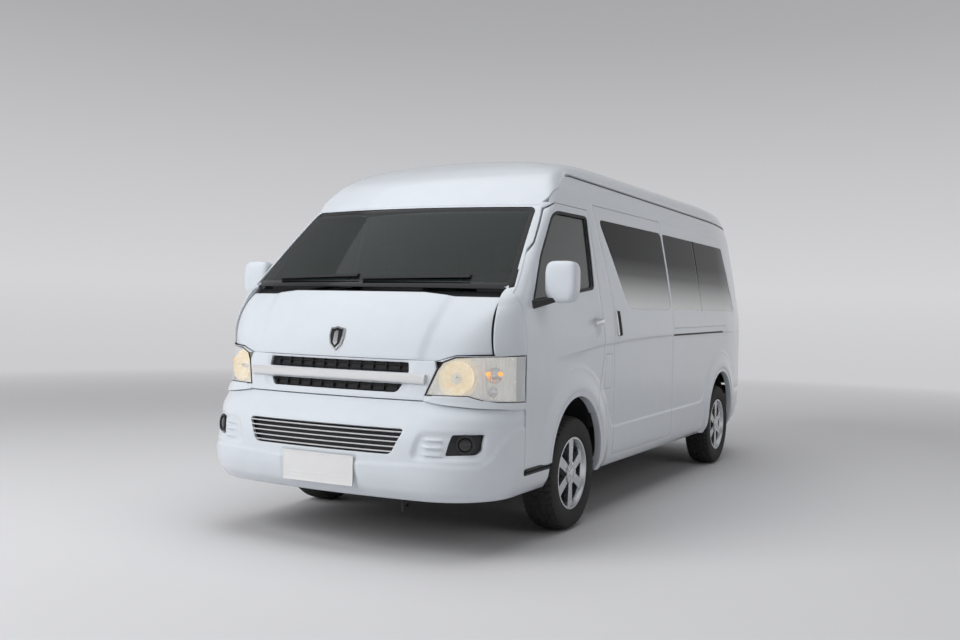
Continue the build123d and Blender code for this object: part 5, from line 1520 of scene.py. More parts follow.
    def bumper(self) -> None:
        """Bumper skin with its openings and the lower grille."""
        f = self.finishes
        half = np.vstack([drawn(view, run, FINE, False)
                          for view, run in ((View.FRONT, self.bumper_top),
                                            (View.SIDE, self.bumper_side),
                                            (View.FRONT, self.bumper_foot))])
        outline = dense(np.vstack([half, half[::-1][1:-1] * (-1, 1)]), 0.016)
        mouth = rounded(self.mouth, 0.028)
        fog = drawn(View.FRONT, rounded(self.fog, 0.012), 0.008)
        lattice = nose_lattice(2.1, 0.306, 0.80, 0.0125, 0.0095)
        skin = skin_panel(outline, lattice, 0.020, relief=NOSE.bumper,
                          holes=[drawn(View.FRONT, mouth, FINE), fog, fog * (-1, 1)])
        place_piece("bumper_skin", skin.painted(0), [f.paint],
                    ("front_bumper", "front_steps"))
        bed = skin_panel(drawn(View.FRONT, grown(mouth, 0.02), COARSE), lattice, PANE, 0.040)
        parts = [bed.painted(0)]
        for z in 0.549 + 0.0255 * np.arange(5):
            reach = 0.436 + (z - 0.533) * 0.474
            slat = self.bar(np.linspace(-reach, reach, 60), np.full(60, z), 0.0035, 0.010,
                            0.018)
            parts.append(slat.painted(1))
        place_piece("lower_grille", Shape.join(parts), [f.black, f.satin])

    def badge(self) -> None:
        """Plain shield badge on the bonnet: a bright rim round a dark blank field."""
        f = self.finishes
        outer = dense(mirror_loop(self.badge_rim), 0.006)
        core = dense(mirror_loop(self.badge_core), 0.005)
        lattice = nose_lattice(0.05, 1.04, 1.155, 0.007, 0.007)
        layers = [skin_panel(FORM.chart(View.FRONT, line), lattice, thickness,
                             relief=even(lift)).painted(number)
                  for line, lift, thickness, number in ((outer, 0.010, 0.006, 0),
                                                        (grown(outer, -0.0085), 0.0115, 0.004, 1),
                                                        (core, 0.0140, 0.004, 0))]
        place_piece("bonnet_badge", Shape.join(layers), [f.chrome, f.frit],
                    body="bonnet_body")

    def strips(self) -> None:
        """Two black strips along each side, in front of the wheel."""
        y = np.linspace(-0.684, -0.372, 24)
        beads = [Shape.pair(strip(*FORM.skin(View.SIDE, y, np.full(24, level)), 0.0075, 0.006))
                 for level in (0.4130, 0.4335)]
        place_piece("side_strips", Shape.join(beads), [self.finishes.rubber])

    def plate(self) -> None:
        """Blank number plate with a rounded rim and a faint line under its middle."""
        (x_low, z_low), (x_high, z_high) = self.plate_low, self.plate_high
        rows, columns = 30, 60
        count = rows * columns
        x, z = np.meshgrid(np.linspace(x_low, x_high, columns),
                           np.linspace(z_low, z_high, rows))
        rim = np.minimum(np.minimum(x - x_low, x_high - x), np.minimum(z - z_low, z_high - z))
        face = CAD_BOX[0][1] + 0.0015 + arc_sag(x, 4.5) * 0.8
        face = face + 0.002 * smooth_step((rim - 0.004) / 0.003)
        face = face - 0.0012 * np.exp(-((z - 0.400) / 0.0015) ** 2)
        front = np.stack([x, face, z], -1)
        quads = np.array(grid_faces(rows, columns))
        numbers = np.arange(count).reshape(rows, columns)
        ring = np.concatenate([numbers[0], numbers[1:, -1], numbers[-1, -2::-1],
                               numbers[-2:0:-1, 0]])
        after = np.roll(ring, -1)
        edge = np.stack([ring, ring + count, after + count, after], 1)
        faces = quads.tolist() + (quads + count)[:, ::-1].tolist() + edge.tolist()
        shape = Shape(np.vstack([front.reshape(-1, 3), (front + (0, 0.006, 0)).reshape(-1, 3)]),
                      faces, [0] * len(faces))
        place_piece("number_plate", outward(shape), [self.finishes.plate])


@dataclass
class RearEnd:
    """Tailgate, its glass and handle, tail lamps and rear bumper."""

    finishes: Finishes
    gate_edge: tuple = ((0.0, 0.618), (0.792, 0.618), (0.7995, 0.628), (0.7995, 1.250),
                        (0.6895, 2.036), (0.0, 2.036))
    window: tuple = ((-0.700, 1.272), (0.700, 1.272), (0.640, 1.848), (-0.640, 1.848))
    bumper_edge: tuple = ((3.722, 0.596), (3.722, 0.348))
    lamp: tuple = ((0.812, 0.885), (0.858, 0.885), (0.858, 1.245), (0.812, 1.245))
    grooves: tuple = (1.005, 1.125)

    def build(self) -> None:
        """Make the rear."""
        f = self.finishes
        twice = 2 * FORM.lengths[-1]
        lattice = pairs(np.arange(FORM.lengths[4] - 0.1, twice - FORM.lengths[4] + 0.1, 0.020),
                        np.arange(0.345, 2.05, 0.020))
        window = dense(rounded(self.window, 0.05), COARSE)
        gate = skin_panel(drawn(View.BACK, mirror_loop(self.gate_edge), COARSE), lattice,
                          0.045, holes=[FORM.chart(View.BACK, window)], relief=self.gate_relief)
        pane = skin_panel(drawn(View.BACK, grown(window, -0.003), COARSE), lattice, PANE, 0.003)
        place_piece("tailgate_skin", gate, [f.paint, f.trim], ("tailgate",),
                    "tailgate_body")
        # The tailgate pane's material paints a pale reflection low down on the dark glass.
        place_piece("tailgate_pane", pane, [f.film, f.film], ("tailgate_glass",),
                    "tailgate_body")
        left = drawn(View.SIDE, self.bumper_edge, FINE, False)
        right = left[::-1] * (-1, 1) + (twice, 0)
        wide = pairs(np.arange(FORM.lengths[3], twice - FORM.lengths[3], 0.020),
                     np.arange(0.352, 0.596, 0.014))
        bumper = skin_panel(dense(np.vstack([left, right]), 0.016), wide, SKIN,
                            relief=self.bumper_relief)
        place_piece("rear_bumper_skin", bumper.painted(0), [f.paint],
                    ("rear_bumper",))
        lamp = skin_panel(drawn(View.BACK, rounded(self.lamp, 0.014), 0.010), lattice, 0.030,
                          -0.002, relief=self.lamp_relief)
        place_piece("tail_lamp_lenses", Shape.pair(lamp).painted(0), [f.red],
                    ("tail_lamps",))
        self.handle()

    def gate_relief(self, bare: np.ndarray) -> np.ndarray:
        """Plate recess in the tailgate, a crease under the glass."""
        x, z = np.abs(bare[:, 0]), bare[:, 2]
        field = soft_min(0.36 - x, soft_min(z - 0.80, 1.090 - z, 0.02), 0.03)
        return (-0.016 * smooth_step(field / 0.03)
                - 0.004 * smooth_step((1.18 - z) / 0.02) * smooth_step((0.76 - x) / 0.03))

    def bumper_relief(self, bare: np.ndarray) -> np.ndarray:
        """Flat upper face, stepped in below, with a soft roll over the top edge."""
        z = bare[:, 2]
        return (-0.004 - 0.010 * smooth_step((0.45 - z) / 0.03)
                - 0.012 * smooth_step((z - 0.57) / 0.03))

    def lamp_relief(self, bare: np.ndarray) -> np.ndarray:
        """Lens with two grooves between its three lights."""
        first, second = (np.exp(-((bare[:, 2] - z) / 0.004) ** 2) for z in self.grooves)
        return -0.003 * (first + second)

    def handle(self) -> None:
        """Satin grip across the tailgate over the plate recess."""
        points, normals = FORM.skin(View.BACK, np.linspace(-0.32, 0.32, 60), np.full(60, 1.045))
        place_piece("tailgate_grip", strip(points - normals * 0.016, normals, 0.020, 0.014),
                    [self.finishes.satin], body="tailgate_body")


def revolve(profile: np.ndarray, count: int) -> np.ndarray:
    """Closed profile of (across, radius) turned round the x axis: a grid of points.

    Args:
        profile: Points (n, 2) of x and radius.
        count: Steps round the axis.

    Returns:
        Points (count, n, 3).
    """
    a = np.linspace(0, 2 * np.pi, count, endpoint=False)[:, None]
    x = np.broadcast_to(profile[None, :, 0], (count, len(profile)))
    return np.stack([x, profile[:, 1] * np.cos(a), profile[:, 1] * np.sin(a)], -1)


def turned_solid(profile: np.ndarray, count: int, ring: bool = False) -> Shape:
    """Solid turned round the x axis from a profile of (across, radius).

    Args:
        profile: Points (n, 2): a closed loop for a ring, or else a line from pole to pole.
        count: Steps round the axis.
        ring: Whether the profile is a closed loop.

    Returns:
        The solid.
    """
    points = revolve(profile, count)
    if ring:
        return outward(grid_shape(points, wrap_rows=True, wrap_columns=True))
    return outward(grid_shape(points.transpose(1, 0, 2), wrap_columns=True, caps=True))


def soft_block(centre: tuple, size: tuple, power: float = 0.22, rows: int = 20,
               columns: int = 36, press: Callable | None = None) -> Shape:
    """Closed rounded block: a superellipsoid, whose sines and cosines are raised to a power.

    Args:
        centre: Its middle.
        size: Its three widths.
        power: How square it is, from 0, a box, to 1, an ellipsoid.
        rows: Rows from its foot to its top.
        columns: Points round each row.
        press: A change of the unit points (n, 3), such as seams, made before scaling.

    Returns:
        The block.
    """
    def raised(value: np.ndarray, exponent: float) -> np.ndarray:
        """A value raised to a power, with its sign kept."""
        return np.sign(value) * np.abs(value) ** exponent

    t = np.linspace(-1, 1, rows)
    up = np.arcsin(np.sign(t) * (1 - (1 - np.abs(t)) ** 2) * 0.9995)[:, None]
    round_ = np.linspace(0, 2 * np.pi, columns, endpoint=False)[None, :]
    ring = raised(np.cos(up), power)
    block = np.stack([ring * raised(np.cos(round_), power),
                      ring * raised(np.sin(round_), power),
                      np.broadcast_to(raised(np.sin(up), power), (rows, columns))], -1)
    if press is not None:
        block = press(block.reshape(-1, 3)).reshape(block.shape)
    points = np.asarray(centre) + block * np.asarray(size) / 2
    return outward(grid_shape(points, wrap_columns=True, caps=True))


def tube(path: np.ndarray, wide: np.ndarray, tall: np.ndarray, sides: int = 14) -> Shape:
    """Closed tube of superelliptic section along a path.

    Args:
        path: Points of its middle line.
        wide: Half its width at each point, or everywhere.
        tall: Half its height at each point, or everywhere.
        sides: Points round it.

    Returns:
        The tube.
    """
    ahead = direction(path, closed=False)
    side = unit(np.cross(ahead, (0.0, 0.0, 1.0)))
    up = np.cross(side, ahead)
    a = np.linspace(0, 2 * np.pi, sides, endpoint=False)
    c = np.sign(np.cos(a)) * np.abs(np.cos(a)) ** 0.6
    d = np.sign(np.sin(a)) * np.abs(np.sin(a)) ** 0.6
    wide = np.broadcast_to(wide, len(path))
    tall = np.broadcast_to(tall, len(path))
    grid = (path[:, None, :] + side[:, None, :] * (c[None, :] * wide[:, None])[..., None]
            + up[:, None, :] * (d[None, :] * tall[:, None])[..., None])
    return outward(grid_shape(grid, wrap_columns=True, caps=True))


def turned(shape: Shape, axis: np.ndarray, place: np.ndarray) -> Shape:
    """A shape made round the x axis, turned to another axis and moved to a place."""
    ahead = unit(np.asarray(axis, dtype=float))
    side = unit(np.cross((0.0, 0.0, 1.0), ahead))
    axes = np.stack([ahead, side, np.cross(ahead, side)])
    return Shape(shape.verts @ axes + np.asarray(place), shape.faces, shape.mats)


@dataclass
class Lamps:
    """Headlamps with their bowls, bulbs and covers, and the fog lamps."""

    finishes: Finishes
    upper: tuple = ((0.5625, 0.8325), (0.6065, 0.956), (0.631, 0.9965), (0.690, 1.0215),
                    (0.780, 1.028), (0.850, 1.0295))
    side: tuple = ((-0.6985, 1.0315), (-0.6985, 0.7935))
    lower: tuple = ((0.884, 0.800), (0.842, 0.804), (0.803, 0.8175), (0.764, 0.8315))
    bowl_at: tuple = (0.709, 0.925)
    bowl_r: float = 0.084
    turn_at: tuple = (0.862, 0.935)
    turn_r: float = 0.040
    low_at: tuple = (0.862, 0.852)
    fog_at: tuple = (0.803, 0.598)
    fog_bed: tuple = ((0.700, 0.530), (0.875, 0.530), (0.880, 0.665), (0.715, 0.665))
    steps: int = 48

    def spot(self, at: tuple, depth: float) -> tuple:
        """Point under the skin at (x, z), and the direction a lamp there looks."""
        points, normals = FORM.skin(View.FRONT, np.array(at[:1]), np.array(at[1:]))
        look = 0.72 * normals[0] + 0.28 * np.array((0.0, -1.0, 0.0))
        return points[0] - normals[0] * depth, look / np.linalg.norm(look)

    def placed(self, shape: Shape, at: tuple, depth: float) -> Shape:
        """A shape made round the x axis, set under the skin at (x, z) to look outwards."""
        place, look = self.spot(at, depth)
        return turned(shape, look, place)

    def bowl(self, at: tuple, radius: float, deep: float, depth: float) -> Shape:
        """Reflector: a paraboloid of revolution with a thin rolled rim, in facets round it."""
        r = np.concatenate([np.linspace(0.006, radius, 14), [radius * 1.03, radius * 1.03]])
        x = np.concatenate([deep * (np.linspace(0.07, 1, 14) ** 2 - 1), [0.0, -0.010]])
        back = np.stack([x[::-1][2:] - 0.003, r[::-1][2:]], 1)
        points = revolve(np.vstack([np.stack([x, r], 1), back]), self.steps)
        angle = np.arange(self.steps) * 2 * np.pi / self.steps
        points[:, 2:12, 1:] *= 1 + 0.05 * np.sign(np.sin(angle * 12))[:, None, None]
        shape = outward(grid_shape(points, wrap_rows=True, wrap_columns=True))
        return self.placed(shape, at, depth)

    def bulb(self, at: tuple, depth: float, size: float, length: float) -> Shape:
        """Small round bulb on the bowl's axis."""
        t = np.linspace(0.02, np.pi - 0.02, 14)
        profile = np.stack([-np.cos(t) * length / 2, np.sin(t) * size / 2], 1)
        return self.placed(turned_solid(profile, 18), at, depth)

    def build(self) -> None:
        """Make both headlamps and both fog lamps."""
        f = self.finishes
        line = trace([(View.FRONT, self.upper), (View.SIDE, self.side),
                      (View.FRONT, self.lower)], 0.010)
        cover = skin_panel(line, nose_lattice(1.95, 0.79, 1.04, 0.012, 0.012, 0.50), PANE,
                           0.0005)
        bed = skin_panel(line, nose_lattice(1.95, 0.79, 1.04, 0.0032, 0.012, 0.50), PANE,
                         0.052, relief=self.flutes, edge=0.0001).painted(0)
        small = [self.bowl(self.turn_at, self.turn_r, 0.020, 0.016),
                 self.bowl(self.low_at, 0.026, 0.014, 0.018)]
        bulbs = [self.bulb((0.838, 0.943), 0.016, 0.024, 0.030),
                 self.bulb((0.880, 0.942), 0.014, 0.024, 0.030)]
        place_piece("lamp_covers", Shape.pair(cover), [f.lens, f.lens],
                    ("headlamps",))
        # The beds and the main bowls glow through their finishes: painted light.
        rows = (("lamp_beds", [bed, self.skirt(line)], f.bowl, "chrome_trim"),
                ("main_bowls", [self.bowl(self.bowl_at, self.bowl_r, 0.040, 0.016)], f.reflector_painted_glow,
                 "chrome_trim"),
                ("small_bowls", small, f.chrome, "chrome_trim"),
                ("amber_bulbs", bulbs, f.amber, "red_lens"),
                ("main_bulbs", [self.bulb(self.bowl_at, 0.034, 0.026, 0.036)], f.chrome,
                 "chrome_trim"),
                ("lamp_seals", [self.seal(line)], f.rubber, "black_plastic"))
        for name, shapes, finish, slot in rows:
            place_piece(name, Shape.pair(*shapes), [finish])
        self.fogs()

    def flutes(self, bare: np.ndarray) -> np.ndarray:
        """Upright flutes on the outer part of the bed, each a half sine."""
        wave = np.abs(np.sin(np.pi * bare[:, 1] / 0.020))
        outer = smooth_step((bare[:, 0] - 0.80) / 0.03)
        ring = np.hypot(bare[:, 0] - self.bowl_at[0], bare[:, 2] - self.bowl_at[1])
        return 0.005 * wave * outer + 0.012 * smooth_step((ring - 0.088) / 0.02) * (1 - outer)

    def skirt(self, line: np.ndarray) -> Shape:
        """Wall of the housing from the cover's edge down to its bed."""
        top, normal = FORM.of_chart(grown(line, -0.004))
        wide, _ = FORM.of_chart(grown(line, -0.002))
        depth = np.array([0.006, 0.030, 0.061, 0.063, 0.030, 0.008])
        outer = np.array([False, False, False, True, True, True])
        grid = np.where(outer[None, :, None], wide[:, None, :], top[:, None, :])
        grid = grid - normal[:, None, :] * depth[None, :, None]
        return outward(grid_shape(grid, wrap_rows=True, wrap_columns=True))

    def seal(self, line: np.ndarray) -> Shape:
        """Thin black seal round the left cover."""
        return strip(*FORM.of_chart(grown(line, 0.001)), 0.0035, 0.0012, closed=True)

    def fogs(self) -> None:
        """Black recess, round lens and its ring on each side of the bumper."""
        f = self.finishes
        bed = skin_panel(drawn(View.FRONT, rounded(self.fog_bed, 0.012), 0.010),
                         nose_lattice(1.6, 0.53, 0.67, 0.014, 0.014, 0.6), PANE, 0.040)
        t = np.linspace(0, np.pi / 2, 8)
        dome = np.stack([0.008 * np.cos(t), 0.034 * np.sin(t) + ON_AXIS], 1)
        profile = np.vstack([dome, [[-0.012, 0.034], [-0.012, ON_AXIS]]])
        lens = self.placed(turned_solid(profile, 36), self.fog_at, 0.030)
        a = np.linspace(0, 2 * np.pi, 10, endpoint=False)
        profile = np.stack([0.007 * np.cos(a) + 0.004, 0.042 + 0.007 * np.sin(a)], 1)
        ring = self.placed(turned_solid(profile, 36, ring=True), self.fog_at, 0.030)
        place_piece("fog_beds", Shape.pair(bed.painted(0), ring), [f.black])
        place_piece("fog_lenses", Shape.pair(lens), [f.frit])


@dataclass
class Wheels:
    """Tyres with their tread, hub caps and nuts."""

    finishes: Finishes
    rim_r: float = 0.2090
    radius: float = 0.3288
    steps: int = 312
    blocks: int = 52
    outer_groove: float = 0.0515
    inner_groove: float = 0.0165
    side: tuple = ((0.0812, 0.2092), (0.0885, 0.2150), (0.0935, 0.2290), (0.0968, 0.2480),
                   (0.0973, 0.2680), (0.0965, 0.2860), (0.0945, 0.3000), (0.0905, 0.3105))
    tread: tuple = (0.0850, 0.0790, 0.0725, 0.0655, 0.0585, 0.0540, 0.0515, 0.0490, 0.0445,
                    0.0370, 0.0300, 0.0225, 0.0190, 0.0165, 0.0140, 0.0095, 0.0)
    nut: tuple = ((0.0885, ON_AXIS), (0.0885, 0.006), (0.0865, 0.0095), (0.076, 0.0095),
                  (0.076, ON_AXIS))
    nuts: int = 6
    nut_r: float = 0.047

    def profile(self) -> np.ndarray:
        """Tyre section from the inner bead over the tread to the outer bead, then its bore."""
        tread = np.array(self.tread)
        height = self.radius - 0.0135 * (tread / 0.085) ** 4
        half = np.vstack([self.side, np.stack([tread, height], 1)])
        bore = [(-0.04, self.rim_r), (0.04, self.rim_r)]
        return np.vstack([half, half[::-1][1:] * (-1, 1), bore])

    def tyre(self) -> Shape:
        """Tyre: the section turned round, with grooves cut into its tread.

        The depth of tread at a point is the larger of two round grooves and of cross grooves
        that are staggered from rib to rib; shoulder blocks run down the side wall.
        """
        profile = self.profile()
        points = revolve(profile, self.steps)
        angle = np.arange(self.steps)[:, None] * 2 * np.pi / self.steps
        x, r = profile[None, :, 0], profile[None, :, 1]
        far = np.abs(x)
        on_tread = smooth_step((r - 0.3110) / 0.004)
        around = np.maximum(smooth_step(1.6 - np.abs(far - self.outer_groove) / 0.0030),
                            smooth_step(1.6 - np.abs(far - self.inner_groove) / 0.0026))
        stagger = np.select([far > self.outer_groove, far > self.inner_groove], [0.0, 2.1], 4.2)
        wave = np.sin(angle * self.blocks + stagger + x * 40)
        depth = 0.0085 * np.maximum(around, smooth_step((wave - 0.62) / 0.22)) * on_tread
        lugs = smooth_step((r - 0.290) / 0.010) * (1 - on_tread)
        depth += 0.0030 * lugs * smooth_step((np.sin(angle * self.blocks) - 0.55) / 0.3)
        band = smooth_step(1 - np.abs(r - 0.252) / 0.0030) * (far > 0.08)
        points[..., 1:] *= ((r - depth) / r)[..., None]
        points[..., 0] -= np.sign(x) * 0.0012 * band
        return outward(grid_shape(points, wrap_rows=True, wrap_columns=True))

    def build(self) -> None:
        """Make the four tyres, caps and nuts."""
        f = self.finishes
        tyre, hub = self.tyre(), self.hub()
        for end in ("front", "rear"):
            for side in Side:
                tag = f"{end}_{side.name.lower()}"
                low, high = (np.array(v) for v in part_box(f"{tag}_tyre"))
                middle = (low + high) / 2
                place_piece(f"{tag}_tread", tyre.on(side).moved(middle), [f.tyre],
                            (f"{tag}_tyre",), f"{tag}_wheel")
                place_piece(f"{tag}_cap", hub.on(side).moved(middle), [f.alloy, f.chrome],
                            body=f"{tag}_wheel")

    def hub(self) -> Shape:
        """Domed cap in the hub's middle, six nuts round it and a lip on the rim."""
        t = np.linspace(0, np.pi / 2, 7)
        dome = np.stack([0.0845 + 0.007 * np.cos(t), 0.030 * np.sin(t) + ON_AXIS], 1)
        cap = np.vstack([dome, [[0.074, 0.030], [0.074, ON_AXIS]]])
        nut = turned_solid(np.array(self.nut), 6).painted(1)
        a = np.linspace(0, 2 * np.pi, 8, endpoint=False)
        lip = np.stack([0.0835 + 0.0045 * np.cos(a), 0.2045 + 0.0045 * np.sin(a)], 1)
        turns = [np.pi / 6 + k * np.pi / 3 for k in range(self.nuts)]
        nuts = [nut.moved((0.0, self.nut_r * math.cos(a), self.nut_r * math.sin(a)))
                for a in turns]
        return Shape.join([turned_solid(cap, 32), *nuts, turned_solid(lip, 96, ring=True)])


@dataclass
class Fittings:
    """Mirrors, handles, the sliding door's rail slot and the door window seals."""

    finishes: Finishes
    head: tuple = (1.035, -1.945, 1.422)
    head_size: tuple = (0.180, 0.110, 0.225)
    glass_size: tuple = (0.146, 0.006, 0.186)
    arm: tuple = ((0.905, -2.055, 1.298), (0.935, -2.03, 1.306), (0.975, -1.985, 1.320),
                  (1.010, -1.955, 1.330))

    def mirror_head(self) -> Shape:
        """Mirror head: a rounded block, narrower at its foot and flat behind."""
        def press(unit_points: np.ndarray) -> np.ndarray:
            """Narrow the foot and flatten the back."""
            shaped = unit_points.copy()
            shaped[:, 0] *= 1 - 0.10 * smooth_step((-unit_points[:, 2] - 0.2) / 0.8)
            shaped[:, 1] = np.minimum(unit_points[:, 1], 0.62)
            return shaped
        return soft_block(self.head, self.head_size, 0.46, 30, 48, press)

    def mirror_arm(self) -> Shape:
        """Arm from the door's corner to the mirror head, thinner towards the head."""
        t = np.linspace(0, 1, 24)
        line = np.stack([np.interp(t, np.linspace(0, 1, 4), axis) for axis in zip(*self.arm)], 1)
        return tube(line, np.linspace(0.034, 0.026, 24), np.linspace(0.026, 0.013, 24))

    def build(self) -> None:
        """Make both sides' fittings."""
        f = self.finishes
        x, y, z = self.head
        glass = soft_block((x, y + 0.0350, z), self.glass_size, 0.25, 12, 32)
        rows = (("mirror_head", self.mirror_head(), f.paint, "white_paint"),
                ("mirror_glass", glass, f.chrome, "chrome_trim"),
                ("mirror_arm", self.mirror_arm(), f.black, "black_plastic"),
                ("door_handle", self.handle(), f.chrome, "chrome_trim"),
                ("window_seal", self.window_seal(), f.rubber, "black_plastic"))
        for side in Side:
            tag = side.name.lower()
            for name, shape, finish, slot in rows:
                node = (f"{tag}_mirror",) if name == "mirror_head" else ()
                place_piece(f"{name}_{tag}", shape.on(side), [finish], node,
                            f"{tag}_door")
        place_piece("slider_handle", self.slider_handle(), [f.black, f.chrome])
        y = np.linspace(1.800, 3.148, 90)
        slot_bead = self.side_bead(y, PRESSING.line(PRESSING.rail, y), 0.0065, 0.0012, 0.0035)
        place_piece("rail_slot", slot_bead, [f.rubber])

    @staticmethod
    def side_bead(y: np.ndarray, z: np.ndarray, half: float, height: float, sink: float,
                  closed: bool = False) -> Shape:
        """Bead on the side along points of y from the front axle and z."""
        points, normals = FORM.skin(View.SIDE, y, z)
        return strip(points - normals * sink, normals, half, height, closed)

    def handle(self) -> Shape:
        """Front door handle: a bright bar over its recess, higher in its middle."""
        t = np.linspace(0, 1, 30)
        points, normals = FORM.skin(View.SIDE, 0.218 + 0.128 * t, 1.196 + 0.016 * t)
        path = points + normals * (0.020 + 0.012 * np.sin(np.pi * t) ** 0.6)[:, None]
        swell = np.sin(np.pi * t)
        feet = [tube(np.linspace(path[end] - normals[end] * 0.022, path[end], 6), 0.010, 0.010)
                for end in (0, -1)]
        return Shape.join([tube(path, 0.0080 + 0.002 * swell, 0.0150 + 0.003 * swell), *feet])

    def slider_handle(self) -> Shape:
        """Sliding door handle: an upright black grip with a bright strip on its edge."""
        t = np.linspace(0, 1, 24)
        y, z = 0.628 + 0.030 * t, 1.268 - 0.150 * t
        points, normals = FORM.skin(View.SIDE, y, z)
        grip = strip(points + normals * 0.002, normals, 0.0165, 0.020, sink=0.008)
        return Shape.join([grip, self.side_bead(y - 0.020, z, 0.0035, 0.012, 0.0).painted(1)])

    def window_seal(self) -> Shape:
        """Black seal round the front door's window."""
        window = rounded(BodySides.door_window, BodySides.window_corner)
        line = dense(grown(dense(window, FINE), -0.006), FINE)
        return self.side_bead(line[:, 0], line[:, 1], 0.0095, 0.0035, 0.001, True)


@dataclass
class Cabin:
    """Padded seats on their frames."""

    finishes: Finishes
    front_y: float = -0.255
    front_x: float = 0.430
    front_z: float = 0.8503
    front_width: float = 0.500
    front_floor: float = 0.831
    rows: tuple = (0.560, 1.330, 2.100, 2.870)
    halves: tuple = (0.800, 0.800, 0.800, 0.620)
    row_z: float = 0.870
    row_floor: float = 0.601
    depth: float = 0.460

    def pad(self, centre: tuple, size: tuple, flutes: int, face: int) -> Shape:
        """Crowned pad: sides that pull in between corners and sewn channels on its face.

        The pull is the product of (1 - u^2) along the two other directions, and a channel is
        a narrow bell-shaped groove across the face.

        Args:
            centre: Its middle.
            size: Its three widths.
            flutes: Number of sewn channels.
            face: The axis its face looks along, 1 or 2.

        Returns:
            The pad.
        """
        other = 3 - face

        def press(unit_points: np.ndarray) -> np.ndarray:
            """Crown the face, sew the channels in and raise the bolsters."""
            across, up = unit_points[:, 0], unit_points[:, other]
            crown = 1 - up ** 2
            shaped = unit_points.copy()
            front = np.sign(unit_points[:, face])
            shaped[:, face] *= 0.80 + 0.20 * ((1 - across ** 2) * crown)
            for k in range(flutes):
                mark = -0.5 + (k + 0.5) / flutes
                groove = np.exp(-((up - mark * 1.5) / 0.035) ** 2)
                shaped[:, face] -= front * 0.10 * groove * (np.abs(across) < 0.95)
            bolster = smooth_step((np.abs(across) - 0.66) / 0.16)
            shaped[:, face] += front * 0.10 * bolster * crown - front * 0.10
            shaped[:, 0] *= 1 - 0.030 * crown
            return shaped
        return soft_block(centre, size, 0.26, 26, 56, press)

    def seat(self, x: float, y: float, z: float, width: float) -> dict:
        """Pads of one place: cushion, back and headrest, each in the room of its solid."""
        wide = width - 0.012
        back_y = y + self.depth
        return {"cushion": self.pad((x, (y + back_y) / 2 - 0.03, z + 0.058),
                                    (wide, self.depth - 0.075, 0.110), 3, 2),
                "back": self.pad((x, back_y - 0.056, z + 0.350), (wide, 0.110, 0.580), 4, 1),
                "rest": self.pad((x, back_y - 0.060, z + 0.740), (0.250, 0.088, 0.148), 0, 1)}

    def build(self) -> None:
        """Make every seat's pads and frames."""
        groups = {name: [self.seat(x, AXLE_Y + self.front_y, self.front_z, self.front_width)]
                  for name, x in (("driver", -self.front_x), ("mate", self.front_x))}
        for k, (y, half) in enumerate(zip(self.rows, self.halves)):
            groups[f"row{k + 1}"] = [self.seat(x, AXLE_Y + y, self.row_z, half / 2)
                                     for x in (half / 4, 3 * half / 4, -half + half / 4)]
        first = {"driver": ("front_seats",), "row1": ("rear_seats",)}
        for name, seats in groups.items():
            for part in ("cushion", "back", "rest"):
                swap = first.get(name, ()) if part == "cushion" else ()
                piece = place_piece(f"{name}_{part}", Shape.join([s[part] for s in seats]),
                                    [self.finishes.fabric], swap)
        parts = []
        for name, seats in groups.items():
            floor = self.row_floor if name.startswith("row") else self.front_floor
            for seat in seats:
                parts += self.seat_frame(seat, floor)
        place_piece("seat_frames", Shape.join(parts), [self.finishes.steel])

    @staticmethod
    def seat_frame(seat: dict, floor: float) -> list:
        """Dark frame from the floor up to a cushion, and two posts under its headrest."""
        low, high = seat["cushion"].verts.min(axis=0), seat["cushion"].verts.max(axis=0)
        x, y = (low[0] + high[0]) / 2, (low[1] + high[1]) / 2
        top = low[2] + 0.008
        parts = [soft_block((x, y, (floor + top) / 2),
                            (high[0] - low[0] - 0.10, 0.30, top - floor), 0.1, 8, 24)]
        rest = seat["rest"].verts
        foot = rest[:, 2].min()
        middle = (rest[:, 1].min() + rest[:, 1].max()) / 2
        for dx in (-0.06, 0.06):
            ends = np.array([(x + dx, middle, foot - 0.045),
                             (x + dx, middle + ON_AXIS, foot + 0.02)])
            parts.append(tube(np.linspace(*ends, 5), 0.006, 0.006, 8))
        return parts


